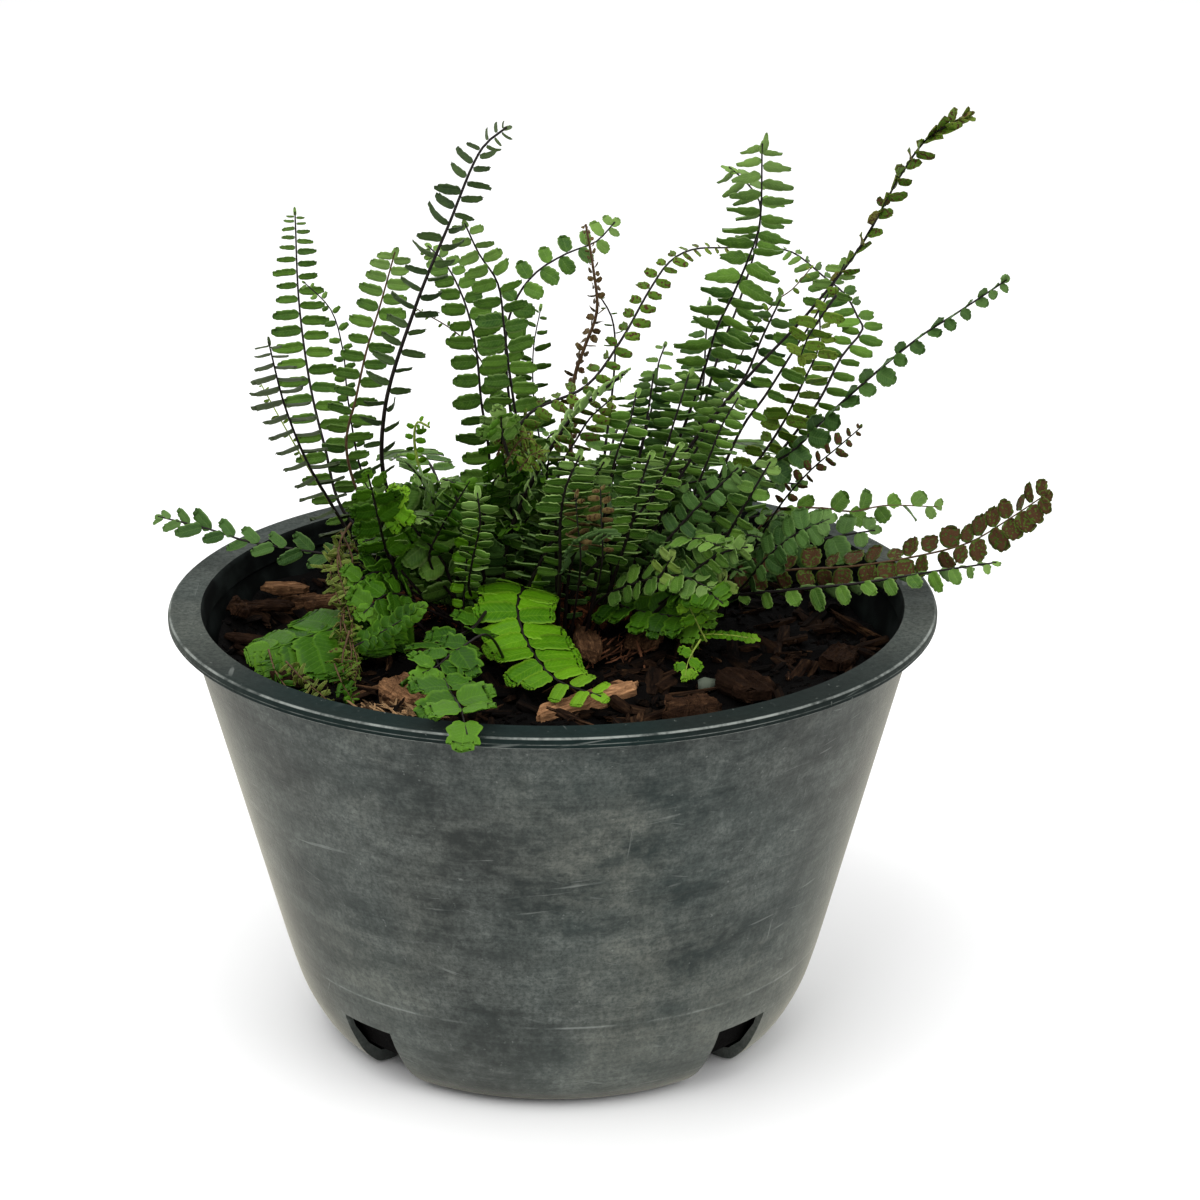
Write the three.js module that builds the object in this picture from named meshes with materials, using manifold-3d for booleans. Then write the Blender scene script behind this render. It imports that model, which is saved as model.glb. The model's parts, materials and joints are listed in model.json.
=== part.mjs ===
// Potted fern: a squat moulded pot, potting mix, rhizome crown, bark chips and fronds.
// Millimetres, +Z up, the front towards -Y. The origin is the middle of the pot's flat underside.
import * as THREE from 'three';
import { mergeVertices } from 'three/addons/utils/BufferGeometryUtils.js';
import Module from 'manifold-3d';

// Pot
const POT_HEIGHT = 117;
const RIM_RADIUS = 100;
const RIM_INNER_RADIUS = 91;
const LIP_HEIGHT = 3;
const WALL_TOP = [94.35, 112.6];
const WALL_FOOT = [72.3, 30];
const WALL_THICKNESS = 2.1;
const FLOOR_THICKNESS = 2.6;
const POT_SIDES = 40;
const NOTCH_WIDTH = 17;
const NOTCH_HEIGHT = 18;
const NOTCH_INNER_RADIUS = 47;
const NOTCH_OUTER_RADIUS = 80;
const NOTCH_DROP = 4;
const NOTCH_AZIMUTHS = [45, 135, 225, 315];

// Potting mix and crown
const FIT_GAP = 0.32;
const CHIP_GAP = 0.47;
const CHIP_LIFT = 0.22;
const MIX_LEVEL = 100.2;
const CROWN_CENTRE = new THREE.Vector3(2, 42, 95.5);
const CROWN_RADII = new THREE.Vector3(50, 27, 10);
const CROWN_GAP = 0.6;
const CROWN_LUMP = 0.05;

// Fronds
const STEM_DEPTH = 5;
const BARE_STEP = 18;
const HOLE_GAP = 0.45;
const HOLE_TOP = 3.5;
const LEAF_THICKNESS = 0.6;
const SMALL_LEAF = 5.3;
const LEAF_CLEARANCE = 0.4;
const OWN_CLEARANCE = 0.15;
const RIM_CLEARANCE = 1.3;

const wasm = await Module();
wasm.setup();

const UP = new THREE.Vector3(0, 0, 1);
const vec = (x, y, z) => new THREE.Vector3(x, y, z);
const radians = (degrees) => (degrees * Math.PI) / 180;

// A repeatable run of numbers from 0 to 1, started from a word.
function randomFrom(word) {
  let state = 7;
  for (const letter of word) state = (state * 31 + letter.charCodeAt(0)) % 2147483647;
  return () => {
    state = (state * 48271) % 2147483647;
    return state / 2147483647;
  };
}

function solidOf(geometry) {
  const bare = geometry.clone();
  bare.deleteAttribute('normal');
  bare.deleteAttribute('uv');
  const merged = mergeVertices(bare, 1e-4);
  return new wasm.Manifold(
    new wasm.Mesh({
      numProp: 3,
      vertProperties: new Float32Array(merged.attributes.position.array),
      triVerts: new Uint32Array(merged.index.array),
    }),
  );
}

function geometryOf(solid) {
  const mesh = solid.getMesh();
  const geometry = new THREE.BufferGeometry();
  geometry.setAttribute('position', new THREE.BufferAttribute(new Float32Array(mesh.vertProperties), 3));
  geometry.setIndex(new THREE.BufferAttribute(new Uint32Array(mesh.triVerts), 1));
  return geometry;
}

function geometryFrom(points, triangles) {
  const geometry = new THREE.BufferGeometry();
  const flat = points.flatMap((p) => [p.x, p.y, p.z]);
  geometry.setAttribute('position', new THREE.Float32BufferAttribute(flat, 3));
  geometry.setIndex(triangles);
  return geometry;
}

const part = new THREE.Group();
part.name = 'potted_fern';

function addPart(name, geometry, color, roughness = 0.7) {
  geometry.computeVertexNormals();
  const material = new THREE.MeshStandardMaterial({ color, roughness, metalness: 0 });
  const mesh = new THREE.Mesh(geometry, material);
  mesh.name = name;
  part.add(mesh);
}

const LEDGE = [RIM_INNER_RADIUS + 0.3, POT_HEIGHT - 7.5];
const INNER_CORNER = [WALL_FOOT[0] - WALL_THICKNESS, WALL_FOOT[1]];
const FLOOR_CORNER = [[60.6, 7], [51, FLOOR_THICKNESS]];

// The inside of the wall between the ledge and the bottom corner.
function innerRadius(z) {
  const share = (z - INNER_CORNER[1]) / (LEDGE[1] - INNER_CORNER[1]);
  return INNER_CORNER[0] + (LEDGE[0] - INNER_CORNER[0]) * share;
}

// The top of the mix: a low mound round the crown, uneven everywhere.
function mixTop(x, y) {
  const mound = 2.4 * Math.exp(-((x - 2) ** 2 / 3000 + (y - 40) ** 2 / 1500));
  const waves = 0.8 * Math.sin(x * 0.16 + 1.3) * Math.cos(y * 0.13) + 0.6 * Math.sin(x * 0.31 - y * 0.27);
  return MIX_LEVEL + mound + waves;
}

// The top of the crown over a point, or a very low value outside it.
function crownTop(x, y) {
  const across = ((x - CROWN_CENTRE.x) / (CROWN_RADII.x + 1)) ** 2;
  const along = ((y - CROWN_CENTRE.y) / (CROWN_RADII.y + 1)) ** 2;
  const rest = 1 - across - along;
  return rest > 0 ? CROWN_CENTRE.z + CROWN_RADII.z * (1 + CROWN_LUMP) * Math.sqrt(rest) : -1000;
}

const groundTop = (x, y) => Math.max(mixTop(x, y), crownTop(x, y));

// Pot: one turned wall with the rim, its short lip and a small ledge inside, and four notches.
function makePot() {
  const profile = [
    [0, 0],
    [53.5, 0],
    [58.8, 1.8],
    [62.8, 6],
    [67.2, 14],
    WALL_FOOT,
    WALL_TOP,
    [RIM_RADIUS - 1.6, POT_HEIGHT - LIP_HEIGHT],
    [RIM_RADIUS - 0.3, POT_HEIGHT - LIP_HEIGHT],
    [RIM_RADIUS, POT_HEIGHT - 0.8],
    [RIM_RADIUS - 1, POT_HEIGHT],
    [RIM_INNER_RADIUS + 0.8, POT_HEIGHT],
    [RIM_INNER_RADIUS, POT_HEIGHT - 1],
    [RIM_INNER_RADIUS - 0.6, POT_HEIGHT - 6.5],
    LEDGE,
    INNER_CORNER,
    ...FLOOR_CORNER,
    [0, FLOOR_THICKNESS],
  ].map(([r, z]) => new THREE.Vector2(r, z));
  const turned = new THREE.LatheGeometry(profile, POT_SIDES).rotateX(Math.PI / 2);
  let pot = solidOf(turned);
  for (const azimuth of NOTCH_AZIMUTHS) {
    const reach = NOTCH_OUTER_RADIUS - NOTCH_INNER_RADIUS;
    const notch = new THREE.BoxGeometry(NOTCH_WIDTH, reach, NOTCH_HEIGHT + NOTCH_DROP);
    notch.translate(0, -(NOTCH_INNER_RADIUS + reach / 2), (NOTCH_HEIGHT - NOTCH_DROP) / 2);
    notch.rotateZ(radians(azimuth));
    pot = pot.subtract(solidOf(notch));
  }
  return pot;
}

// Potting mix: it follows the pot's wall with the same facets, a hair inside it.
function makeMix() {
  const points = [];
  const triangles = [];
  const rings = [0.3, 0.6, 0.84];
  const lifted = FLOOR_CORNER.map(([radius, z]) => [radius - 0.2, z + 0.4]);
  const sideLevels = [INNER_CORNER, ...lifted];
  const edgeLevel = (i) => MIX_LEVEL - 1.2 + 0.5 * Math.sin(i * 1.7);
  const ringPoint = (radius, index) => {
    const angle = (index / POT_SIDES) * 2 * Math.PI;
    return [radius * Math.sin(angle), -radius * Math.cos(angle)];
  };
  points.push(vec(0, 0, mixTop(0, 0)));
  for (const share of [...rings, 1]) {
    for (let i = 0; i < POT_SIDES; i += 1) {
      const [x, y] = ringPoint((innerRadius(edgeLevel(i)) - FIT_GAP) * share, i);
      points.push(vec(x, y, share === 1 ? edgeLevel(i) : mixTop(x, y)));
    }
  }
  for (const [radius, z] of sideLevels) {
    for (let i = 0; i < POT_SIDES; i += 1) {
      const [x, y] = ringPoint(radius - FIT_GAP, i);
      points.push(vec(x, y, z));
    }
  }
  points.push(vec(0, 0, FLOOR_THICKNESS + 0.4));
  const ringCount = rings.length + 1 + sideLevels.length;
  const at = (ring, index) => 1 + ring * POT_SIDES + (index % POT_SIDES);
  for (let i = 0; i < POT_SIDES; i += 1) {
    triangles.push(0, at(0, i), at(0, i + 1));
    for (let ring = 0; ring < ringCount - 1; ring += 1) {
      triangles.push(at(ring, i), at(ring + 1, i), at(ring + 1, i + 1));
      triangles.push(at(ring, i), at(ring + 1, i + 1), at(ring, i + 1));
    }
    triangles.push(points.length - 1, at(ringCount - 1, i + 1), at(ringCount - 1, i));
  }
  return solidOf(geometryFrom(points, triangles));
}

// Crown: a flattened lumpy rootstock, or the hollow it sits in when grow is more than zero.
function makeCrown(grow) {
  const ball = new THREE.SphereGeometry(1, 18, 8).rotateX(Math.PI / 2);
  const position = ball.attributes.position;
  for (let i = 0; i < position.count; i += 1) {
    const d = vec(position.getX(i), position.getY(i), position.getZ(i));
    const coarse = CROWN_LUMP * Math.sin(d.x * 9 + 1) * Math.cos(d.y * 7);
    const lump = 1 + coarse + 0.03 * Math.sin(d.z * 8 + d.x * 5);
    position.setXYZ(
      i,
      CROWN_CENTRE.x + d.x * (CROWN_RADII.x * lump + grow),
      CROWN_CENTRE.y + d.y * (CROWN_RADII.y * lump + grow),
      CROWN_CENTRE.z + d.z * (CROWN_RADII.z * lump + grow),
    );
  }
  return solidOf(ball);
}

// Bark chips: middle, length, width, thickness, turn and tilt.
const CHIPS = [
  ['bark_long_front', [9, -34], 34, 7, 4.2, 37, -4, 0xb98a5c],
  ['bark_upright_brown', [9, 3], 24, 6.5, 4.5, 97, 6, 0x6f4426],
  ['bark_reddish', [24, 10], 14, 9, 4, 75, 8, 0x7d4a30],
  ['bark_block_front', [35, -46], 15, 13, 7, 10, 3, 0x7a4d33],
  ['bark_slab_right', [49, -24], 22, 12, 5, 118, 5, 0x5f3d26],
  ['bark_edge_right', [75, -4], 17, 9, 4.5, 74, 6, 0x5d4030],
  ['bark_fibrous_left', [-38, -30], 17, 12, 6, 128, -5, 0x96683f],
  ['bark_back_left', [-66, 38], 20, 8, 4, 20, 2, 0x8d6a4a],
];

// One chip: a six-sided slab, narrower at the ends and on top, with uneven corners. With grow
// above zero it is the plain bed that the chip lies in.
function makeChip([name, [x, y], length, width, thickness, turn, tilt], grow) {
  const random = randomFrom(name);
  const outline = [
    [-0.5, -0.18],
    [-0.24, -0.5],
    [0.36, -0.46],
    [0.5, 0.16],
    [0.22, 0.5],
    [-0.4, 0.44],
  ];
  const points = [];
  const chipLayers = [
    [-0.5, 0.86],
    [0.12, 1],
    [0.5, 0.78],
  ];
  const bedLayers = [
    [-0.5, 1],
    [0.9, 1],
  ];
  const layers = grow > 0 ? bedLayers : chipLayers;
  for (const [level, size] of layers) {
    for (const [u, v] of outline) {
      const uneven = grow > 0 ? 1 : 1 - 0.14 * random();
      const dx = u * length * size * uneven + Math.sign(u) * grow;
      const dy = v * width * size * uneven + Math.sign(v) * grow;
      points.push(vec(dx, dy, level * (thickness + 2 * grow)));
    }
  }
  const count = outline.length;
  const top = (layers.length - 1) * count;
  const triangles = [];
  for (let i = 1; i < count - 1; i += 1) {
    triangles.push(0, i + 1, i);
    triangles.push(top, top + i, top + i + 1);
  }
  for (let layer = 0; layer < layers.length - 1; layer += 1) {
    for (let i = 0; i < count; i += 1) {
      const j = (i + 1) % count;
      const a = layer * count;
      const b = a + count;
      triangles.push(a + i, a + j, b + j, a + i, b + j, b + i);
    }
  }
  const geometry = geometryFrom(points, triangles);
  geometry.rotateX(radians(tilt)).rotateY(radians(tilt / 2)).rotateZ(radians(turn));
  geometry.translate(x, y, mixTop(x, y) + thickness * CHIP_LIFT);
  return geometry;
}

// Fronds. root is where the stem leaves the crown or the mix, and path runs on from there to
// the tip. start is the share of the length that is bare stem. pairs, long and wide are the
// leaflets' number and size, face is the way that their upper sides look, and fold, twist and
// sweep turn each leaflet about the rib, about its own length and towards the tip. twistLeft
// is the left side's own twist where it differs.
const FROND_DEFAULTS = {
  start: 0.3,
  pairs: 6,
  long: 7,
  wide: 4,
  fold: 0,
  twist: 0,
  sweep: 12,
  stem: 0.6,
  end: 5,
};
const FRONT = [0.1, -0.85, 0.5];
const GREEN = 0x3f7a22;
const DARK = 0x2d5a24;
const LIME = 0x6ea21f;
const OLIVE = 0x6c7a26;
const BROWN = 0x5d4326;

const FRONDS = [
  [
    'frond_left_tall', GREEN, [-38, 51],
    [[-57, 55, 123], [-62, 60, 140], [-67, 66, 155], [-70, 76, 176], [-69, 84, 197]],
    { start: 0.2, pairs: 11, long: 8.4, wide: 3.8, face: [0.1, -0.9, 0.4] },
  ],
  [
    'frond_left_edge', DARK, [-45, 37],
    [[-59, 36, 131], [-65, 30, 145], [-70, 22, 163], [-73, 10, 184]],
    { start: 0.24, pairs: 8, long: 8, wide: 3.6, twist: 12, twistLeft: 66, fold: -8,
      face: [0.2, -0.8, 0.6] },
  ],
  [
    'frond_left_bare_tip', OLIVE, [-46, 45],
    [[-60, 46, 128], [-67, 43, 142], [-73, 42, 154], [-78, 42, 164]],
    { pairs: 0, stem: 0.6 },
  ],
  [
    'frond_left_thin', GREEN, [-33, 58],
    [[-50, 57, 128], [-55, 53, 155], [-56, 52, 169], [-59, 51, 181], [-66, 50, 189]],
    { start: 0.5, pairs: 4, long: 3, wide: 2.2, stem: 0.6, end: 3 },
  ],
  [
    'frond_left_oval', LIME, [-37, 42],
    [[-51, 40, 130], [-55, 38, 147], [-52, 36, 161], [-49, 35, 174], [-45, 35, 187], [-41, 35, 201]],
    { start: 0.22, pairs: 8, long: 6.2, wide: 4, face: [0.05, -0.92, 0.35] },
  ],
  [
    'frond_dark_tall', DARK, [-30, 34],
    [[-44, 30, 137], [-44, 22, 161], [-35, 10, 193], [-26, 0, 217], [-17, -8, 239], [-11, -12, 245]],
    { start: 0.2, pairs: 9, long: 7, wide: 3.6, twist: 40, fold: -20, stem: 0.85, face: [0.3, -0.7, 0.6],
      end: 3 },
  ],
  [
    'crozier_left', LIME, [-27, 47],
    [[-33, 45, 128], [-37, 44, 146], [-36, 43, 152], [-33, 42, 151]],
    { start: 0.74, pairs: 2, long: 2.6, wide: 2, stem: 0.7, end: 2 },
  ],
  [
    'runner_thin', BROWN, [-17, 57],
    [[-12, 56, 142], [-17, 54, 162], [-25, 51, 174], [-37, 50, 182]],
    { pairs: 0, stem: 0.5 },
  ],
  [
    'frond_mid_oval_left', GREEN, [-18, 44],
    [[-17, 41, 144], [-19, 39, 162], [-21, 40, 173], [-22, 44, 183], [-30, 54, 195]],
    { start: 0.2, pairs: 8, long: 7.4, wide: 4.8, face: FRONT },
  ],
  [
    'frond_mid_oval', GREEN, [-7, 38],
    [[-8, 33, 146], [-10, 30, 161], [-12, 27, 174], [-16, 23, 189], [-20, 18, 207], [-22, 14, 217]],
    { start: 0.2, pairs: 8, long: 7, wide: 5, face: [0, -0.92, 0.4] },
  ],
  [
    'frond_arch_round', DARK, [-4, 48],
    [[-11, 46, 152], [-12, 45, 177], [-9, 46, 186], [-4, 48, 192], [4, 52, 196], [12, 57, 198],
      [17, 62, 202]],
    { start: 0.6, pairs: 6, long: 5.6, wide: 4.4, sweep: 20, face: [0.1, -0.9, 0.45] },
  ],
  [
    'frond_small_edge', DARK, [2, 57],
    [[-3, 59, 139], [-5, 62, 153], [-5, 66, 166], [-3, 70, 176]],
    { start: 0.58, pairs: 4, long: 4.6, wide: 2.6, twist: 50, stem: 0.5, end: 3 },
  ],
  [
    'stalk_dead', BROWN, [9, 51],
    [[5, 53, 140], [6, 53, 161], [9, 51, 171], [12, 48, 181], [11, 44, 194], [9, 40, 207]],
    { start: 0.5, pairs: 3, long: 2.2, wide: 2, stem: 0.95, end: 3, fold: -35 },
  ],
  [
    'rachis_bare', DARK, [14, 45],
    [[14, 47, 140], [16, 51, 156], [17, 55, 170], [16, 58, 177], [12, 62, 183]],
    { start: 0.6, pairs: 3, long: 4.2, wide: 1.6, twist: 60, stem: 0.6, end: 3 },
  ],
  [
    'frond_arch_right', GREEN, [-18, 29],
    [[-12, 25, 148], [-6, 24, 160], [9, 26, 167], [18, 30, 178], [26, 35, 191], [31, 39, 197],
      [37, 44, 199], [48, 50, 198]],
    { start: 0.26, pairs: 8, long: 4.8, wide: 3.2, fold: -20, face: [-0.2, -0.7, 0.7], stem: 0.7 },
  ],
  [
    'frond_small_mid', GREEN, [21, 51],
    [[24, 54, 139], [28, 60, 155], [29, 67, 161], [31, 72, 165]],
    { start: 0.16, pairs: 6, long: 6, wide: 3.6, face: FRONT, end: 4 },
  ],
  [
    'frond_lance_tall', GREEN, [19, 41],
    [[35, 37, 152], [40, 30, 170], [43, 24, 183], [47, 18, 194], [51, 13, 206], [53, 8, 215],
      [53, 0, 238]],
    { start: 0.18, pairs: 11, long: 8.8, wide: 3.4, fold: -20, sweep: 2, face: [0.05, -0.85, 0.55],
      end: 6 },
  ],
  [
    'frond_lance_behind', GREEN, [29, 44],
    [[41, 43, 158], [45, 46, 171], [50, 50, 183], [55, 54, 197], [53, 58, 210], [45, 62, 218]],
    { start: 0.24, pairs: 8, long: 7, wide: 3, twist: 24, sweep: -6, face: [0, -0.6, 0.8] },
  ],
  [
    'frond_lance_short', DARK, [30, 53],
    [[39, 56, 149], [41, 62, 156], [42, 70, 168], [43, 75, 176]],
    { start: 0.2, pairs: 6, long: 7.4, wide: 3.2, face: FRONT, fold: -12 },
  ],
  [
    'frond_arch_back', GREEN, [37, 46],
    [[54, 41, 134], [64, 38, 149], [71, 38, 159], [77, 42, 170], [83, 48, 176], [82, 52, 178],
      [79, 56, 183], [73, 62, 187], [65, 68, 192], [58, 70, 193]],
    { start: 0.2, pairs: 8, long: 6, wide: 3, twist: 30, fold: -15, face: [0.2, -0.5, 0.85], end: 4 },
  ],
  [
    'rachis_bare_right', BROWN, [34, 57],
    [[44, 50, 150], [54, 48, 176], [60, 48, 184], [64, 48, 187], [69, 48, 193]],
    { start: 0.8, pairs: 2, long: 2.2, wide: 1.6, stem: 0.5, end: 2 },
  ],
  [
    'frond_longest', GREEN, [4, 28],
    [[17, 24, 124], [27, 22, 138], [38, 19, 155], [51, 14, 173], [65, 7, 191], [78, -3, 212],
      [87, -13, 233], [93, -20, 244], [102, -25, 251]],
    { start: 0.24, pairs: 11, long: 5.6, wide: 4.2, fold: -52, twist: 10, sweep: 24, stem: 0.85,
      face: [-0.6, -0.5, 0.6], end: 5 },
  ],
  [
    'frond_right_round', DARK, [27, 31],
    [[33, 27, 131], [47, 23, 142], [62, 20, 150], [71, 18, 160], [81, 17, 170], [96, 17, 183],
      [104, 18, 188], [118, 20, 197]],
    { start: 0.2, pairs: 9, long: 5.4, wide: 5, fold: -48, face: [-0.5, -0.5, 0.75], stem: 0.7 },
  ],
  [
    'frond_small_dark', BROWN, [46, 30],
    [[59, 13, 137], [67, 3, 151], [73, -4, 159], [79, -8, 166]],
    { start: 0.55, pairs: 4, long: 3.2, wide: 2.6, stem: 0.5, end: 3 },
  ],
  [
    'frond_right_level', GREEN, [47, 45],
    [[60, 43, 126], [73, 44, 127], [81, 47, 125], [90, 52, 125], [106, 60, 122]],
    { start: 0.45, pairs: 5, long: 4.8, wide: 4, face: [0, -0.75, 0.7], stem: 0.6 },
  ],
  [
    'frond_right_dark_round', DARK, [42, 35],
    [[50, 31, 118], [65, 30, 121], [76, 29, 124], [86, 28, 126]],
    { start: 0.3, pairs: 4, long: 6.8, wide: 6.2, face: [0, -0.7, 0.7], stem: 0.7 },
  ],
  [
    'frond_brown_sori', BROWN, [36, 19],
    [[46, 19, 116], [62, 16, 119], [78, 10, 122], [94, 3, 127], [108, -3, 133], [116, -8, 140],
      [126, -15, 150]],
    { start: 0.24, pairs: 9, long: 6, wide: 4.6, face: [0.1, -0.75, 0.65], stem: 0.7, fold: -10 },
  ],
  [
    'frond_right_low', GREEN, [38, 10],
    [[46, 7, 114], [62, 0, 119], [80, -6, 123], [97, -12, 128], [113, -22, 134]],
    { start: 0.3, pairs: 7, long: 5.4, wide: 3.6, face: [0.1, -0.6, 0.8], fold: -18, stem: 0.6 },
  ],
  [
    'frond_left_level', GREEN, [-39, 28],
    [[-50, 21, 121], [-60, 19, 123], [-72, 19, 125], [-81, 21, 126], [-91, 25, 128], [-105, 30, 130]],
    { start: 0.3, pairs: 6, long: 6, wide: 3.6, face: [0, -0.7, 0.7], sweep: 20, stem: 0.6 },
  ],
  [
    'frond_withered', OLIVE, [-43, 22],
    [[-50, 19, 122], [-56, 10, 128], [-54, 0, 120], [-55, -10, 111], [-51, -22, 105]],
    { start: 0.35, pairs: 7, long: 3.6, wide: 2.6, twist: 40, fold: -20, stem: 0.7, end: 3 },
  ],
  [
    'frond_left_fan', LIME, [-33, 13],
    [[-42, 9, 111], [-51, 4, 112], [-59, -2, 111], [-68, -9, 109], [-76, -12, 108]],
    { start: 0.36, pairs: 3, long: 12, wide: 9.4, face: [-0.1, -0.35, 0.9], fold: -8, stem: 0.7, end: 9 },
  ],
  [
    'frond_front_lime', LIME, [-6, 19],
    [[-7, 14, 115], [-9, 2, 116], [-9, -6, 114], [-6, -18, 110], [1, -34, 107], [12, -43, 106]],
    { start: 0.16, pairs: 5, long: 11.4, wide: 7.4, face: [0, -0.3, 0.95], stem: 0.75, sweep: 8, end: 8 },
  ],
  [
    'frond_front_rim', LIME, [-17, 11],
    [[-16, 5, 113], [-21, -18, 115], [-27, -30, 116], [-29, -45, 117], [-27, -62, 118], [-24, -80, 120],
      [-22, -92, 121], [-20, -104, 118]],
    { start: 0.2, pairs: 7, long: 6.6, wide: 5.4, face: [0, -0.3, 0.95], stem: 0.6, end: 9 },
  ],
  [
    'frond_front_fan', LIME, [15, 24],
    [[15, 14, 111], [22, 4, 112], [31, -3, 113], [40, -8, 113]],
    { start: 0.3, pairs: 3, long: 7.4, wide: 5.6, face: [0, -0.4, 0.9], end: 8 },
  ],
  [
    'plantlet_right', LIME, [36, -9],
    [[36, -8, 105], [37, -8, 109], [44, -9, 110], [53, -10, 109]],
    { start: 0.4, pairs: 2, long: 6, wide: 3, face: [0, -0.3, 0.95], stem: 0.5, end: 6 },
  ],
  [
    'frond_centre', DARK, [-14, 20],
    [[-12, 18, 126], [-4, 8, 149], [2, 2, 161], [6, -2, 168], [19, -15, 183]],
    { start: 0.14, pairs: 9, long: 8, wide: 3.6, twist: 30, face: [0, -0.45, 0.9], stem: 0.75 },
  ],
  [
    'frond_left_round', GREEN, [-25, 21],
    [[-29, 15, 122], [-36, 14, 131], [-41, 13, 137], [-49, 12, 140]],
    { start: 0.3, pairs: 4, long: 7.8, wide: 6.6, face: [0, -0.6, 0.8], stem: 0.8 },
  ],
  [
    'frond_young', LIME, [-24, 9],
    [[-23, 8, 120], [-22, 7, 129], [-20, 5, 137]],
    { start: 0.35, pairs: 4, long: 3.4, wide: 3, face: FRONT, stem: 0.45, end: 3 },
  ],
  [
    'frond_left_lime', LIME, [-35, 20],
    [[-43, 6, 127], [-45, -4, 141], [-47, -12, 155]],
    { start: 0.5, pairs: 3, long: 7.4, wide: 6.4, face: [0, -0.8, 0.6], stem: 0.7, end: 7 },
  ],
  [
    'frond_olive_spores', OLIVE, [32, 39],
    [[41, 36, 126], [51, 33, 139], [60, 31, 153], [66, 28, 167], [70, 28, 177], [70, 28, 188]],
    { start: 0.2, pairs: 8, long: 6.4, wide: 4.8, fold: -18, face: [0.1, -0.8, 0.6] },
  ],
  [
    'frond_back_left', GREEN, [-25, 61],
    [[-33, 76, 128], [-40, 96, 127], [-46, 114, 119]],
    { start: 0.2, pairs: 5, long: 7.6, wide: 4.6, face: [0, 0.2, 0.98] },
  ],
  [
    'frond_back_mid', DARK, [-7, 64],
    [[-9, 82, 133], [-11, 104, 133], [-13, 122, 124]],
    { start: 0.2, pairs: 5, long: 7.8, wide: 4.6, face: [0, 0.2, 0.98] },
  ],
  [
    'frond_back_mid_right', GREEN, [13, 64],
    [[17, 84, 134], [22, 106, 133], [25, 122, 124]],
    { start: 0.2, pairs: 5, long: 7.8, wide: 4.6, face: [0, 0.2, 0.98] },
  ],
  [
    'frond_back_right', GREEN, [31, 62],
    [[42, 78, 130], [53, 97, 129], [61, 113, 120]],
    { start: 0.2, pairs: 5, long: 7.6, wide: 4.6, face: [0, 0.2, 0.98] },
  ],
  [
    'frond_mass_centre', DARK, [3, 15],
    [[5, 7, 125], [10, -8, 137], [15, -22, 141]],
    { start: 0.2, pairs: 6, long: 7.8, wide: 5, face: [0, -0.5, 0.86] },
  ],
  [
    'frond_mass_right', GREEN, [21, 16],
    [[27, 10, 124], [34, -2, 134], [45, -16, 136]],
    { start: 0.2, pairs: 6, long: 7.6, wide: 4.8, face: [0, -0.4, 0.9] },
  ],
  [
    'frond_mass_left', DARK, [-24, 30],
    [[-29, 24, 127], [-34, 13, 145], [-38, 2, 154]],
    { start: 0.2, pairs: 5, long: 6.8, wide: 4.6, face: [0, -0.6, 0.8] },
  ],
  [
    'frond_mass_bright', LIME, [-8, 27],
    [[-11, 21, 135], [-13, 4, 157], [-13, -8, 169]],
    { start: 0.24, pairs: 6, long: 6, wide: 5.2, face: [0, -0.7, 0.7] },
  ],
  [
    'frond_mass_far_right', DARK, [33, 27],
    [[41, 25, 122], [51, 20, 132], [61, 17, 134]],
    { start: 0.2, pairs: 5, long: 6.6, wide: 4.6, face: [0, -0.5, 0.86] },
  ],
];

// A box in space, for testing whether two thin pieces come too near each other.
function spaceBox(centre, axes, halves) {
  const reach = vec(0, 0, 0);
  axes.forEach((axis, i) => {
    reach.x += Math.abs(axis.x) * halves[i];
    reach.y += Math.abs(axis.y) * halves[i];
    reach.z += Math.abs(axis.z) * halves[i];
  });
  return { centre, axes, halves, reach };
}

function boxesMeet(a, b, gap) {
  const apart = b.centre.clone().sub(a.centre);
  if (Math.abs(apart.x) > a.reach.x + b.reach.x + gap) return false;
  if (Math.abs(apart.y) > a.reach.y + b.reach.y + gap) return false;
  if (Math.abs(apart.z) > a.reach.z + b.reach.z + gap) return false;
  const tests = [...a.axes, ...b.axes];
  for (const p of a.axes) {
    for (const q of b.axes) {
      const across = p.clone().cross(q);
      if (across.length() > 1e-3) tests.push(across.normalize());
    }
  }
  for (const axis of tests) {
    let size = gap;
    for (let i = 0; i < 3; i += 1) {
      size += a.halves[i] * Math.abs(a.axes[i].dot(axis)) + b.halves[i] * Math.abs(b.axes[i].dot(axis));
    }
    if (Math.abs(apart.dot(axis)) > size) return false;
  }
  return true;
}

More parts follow.
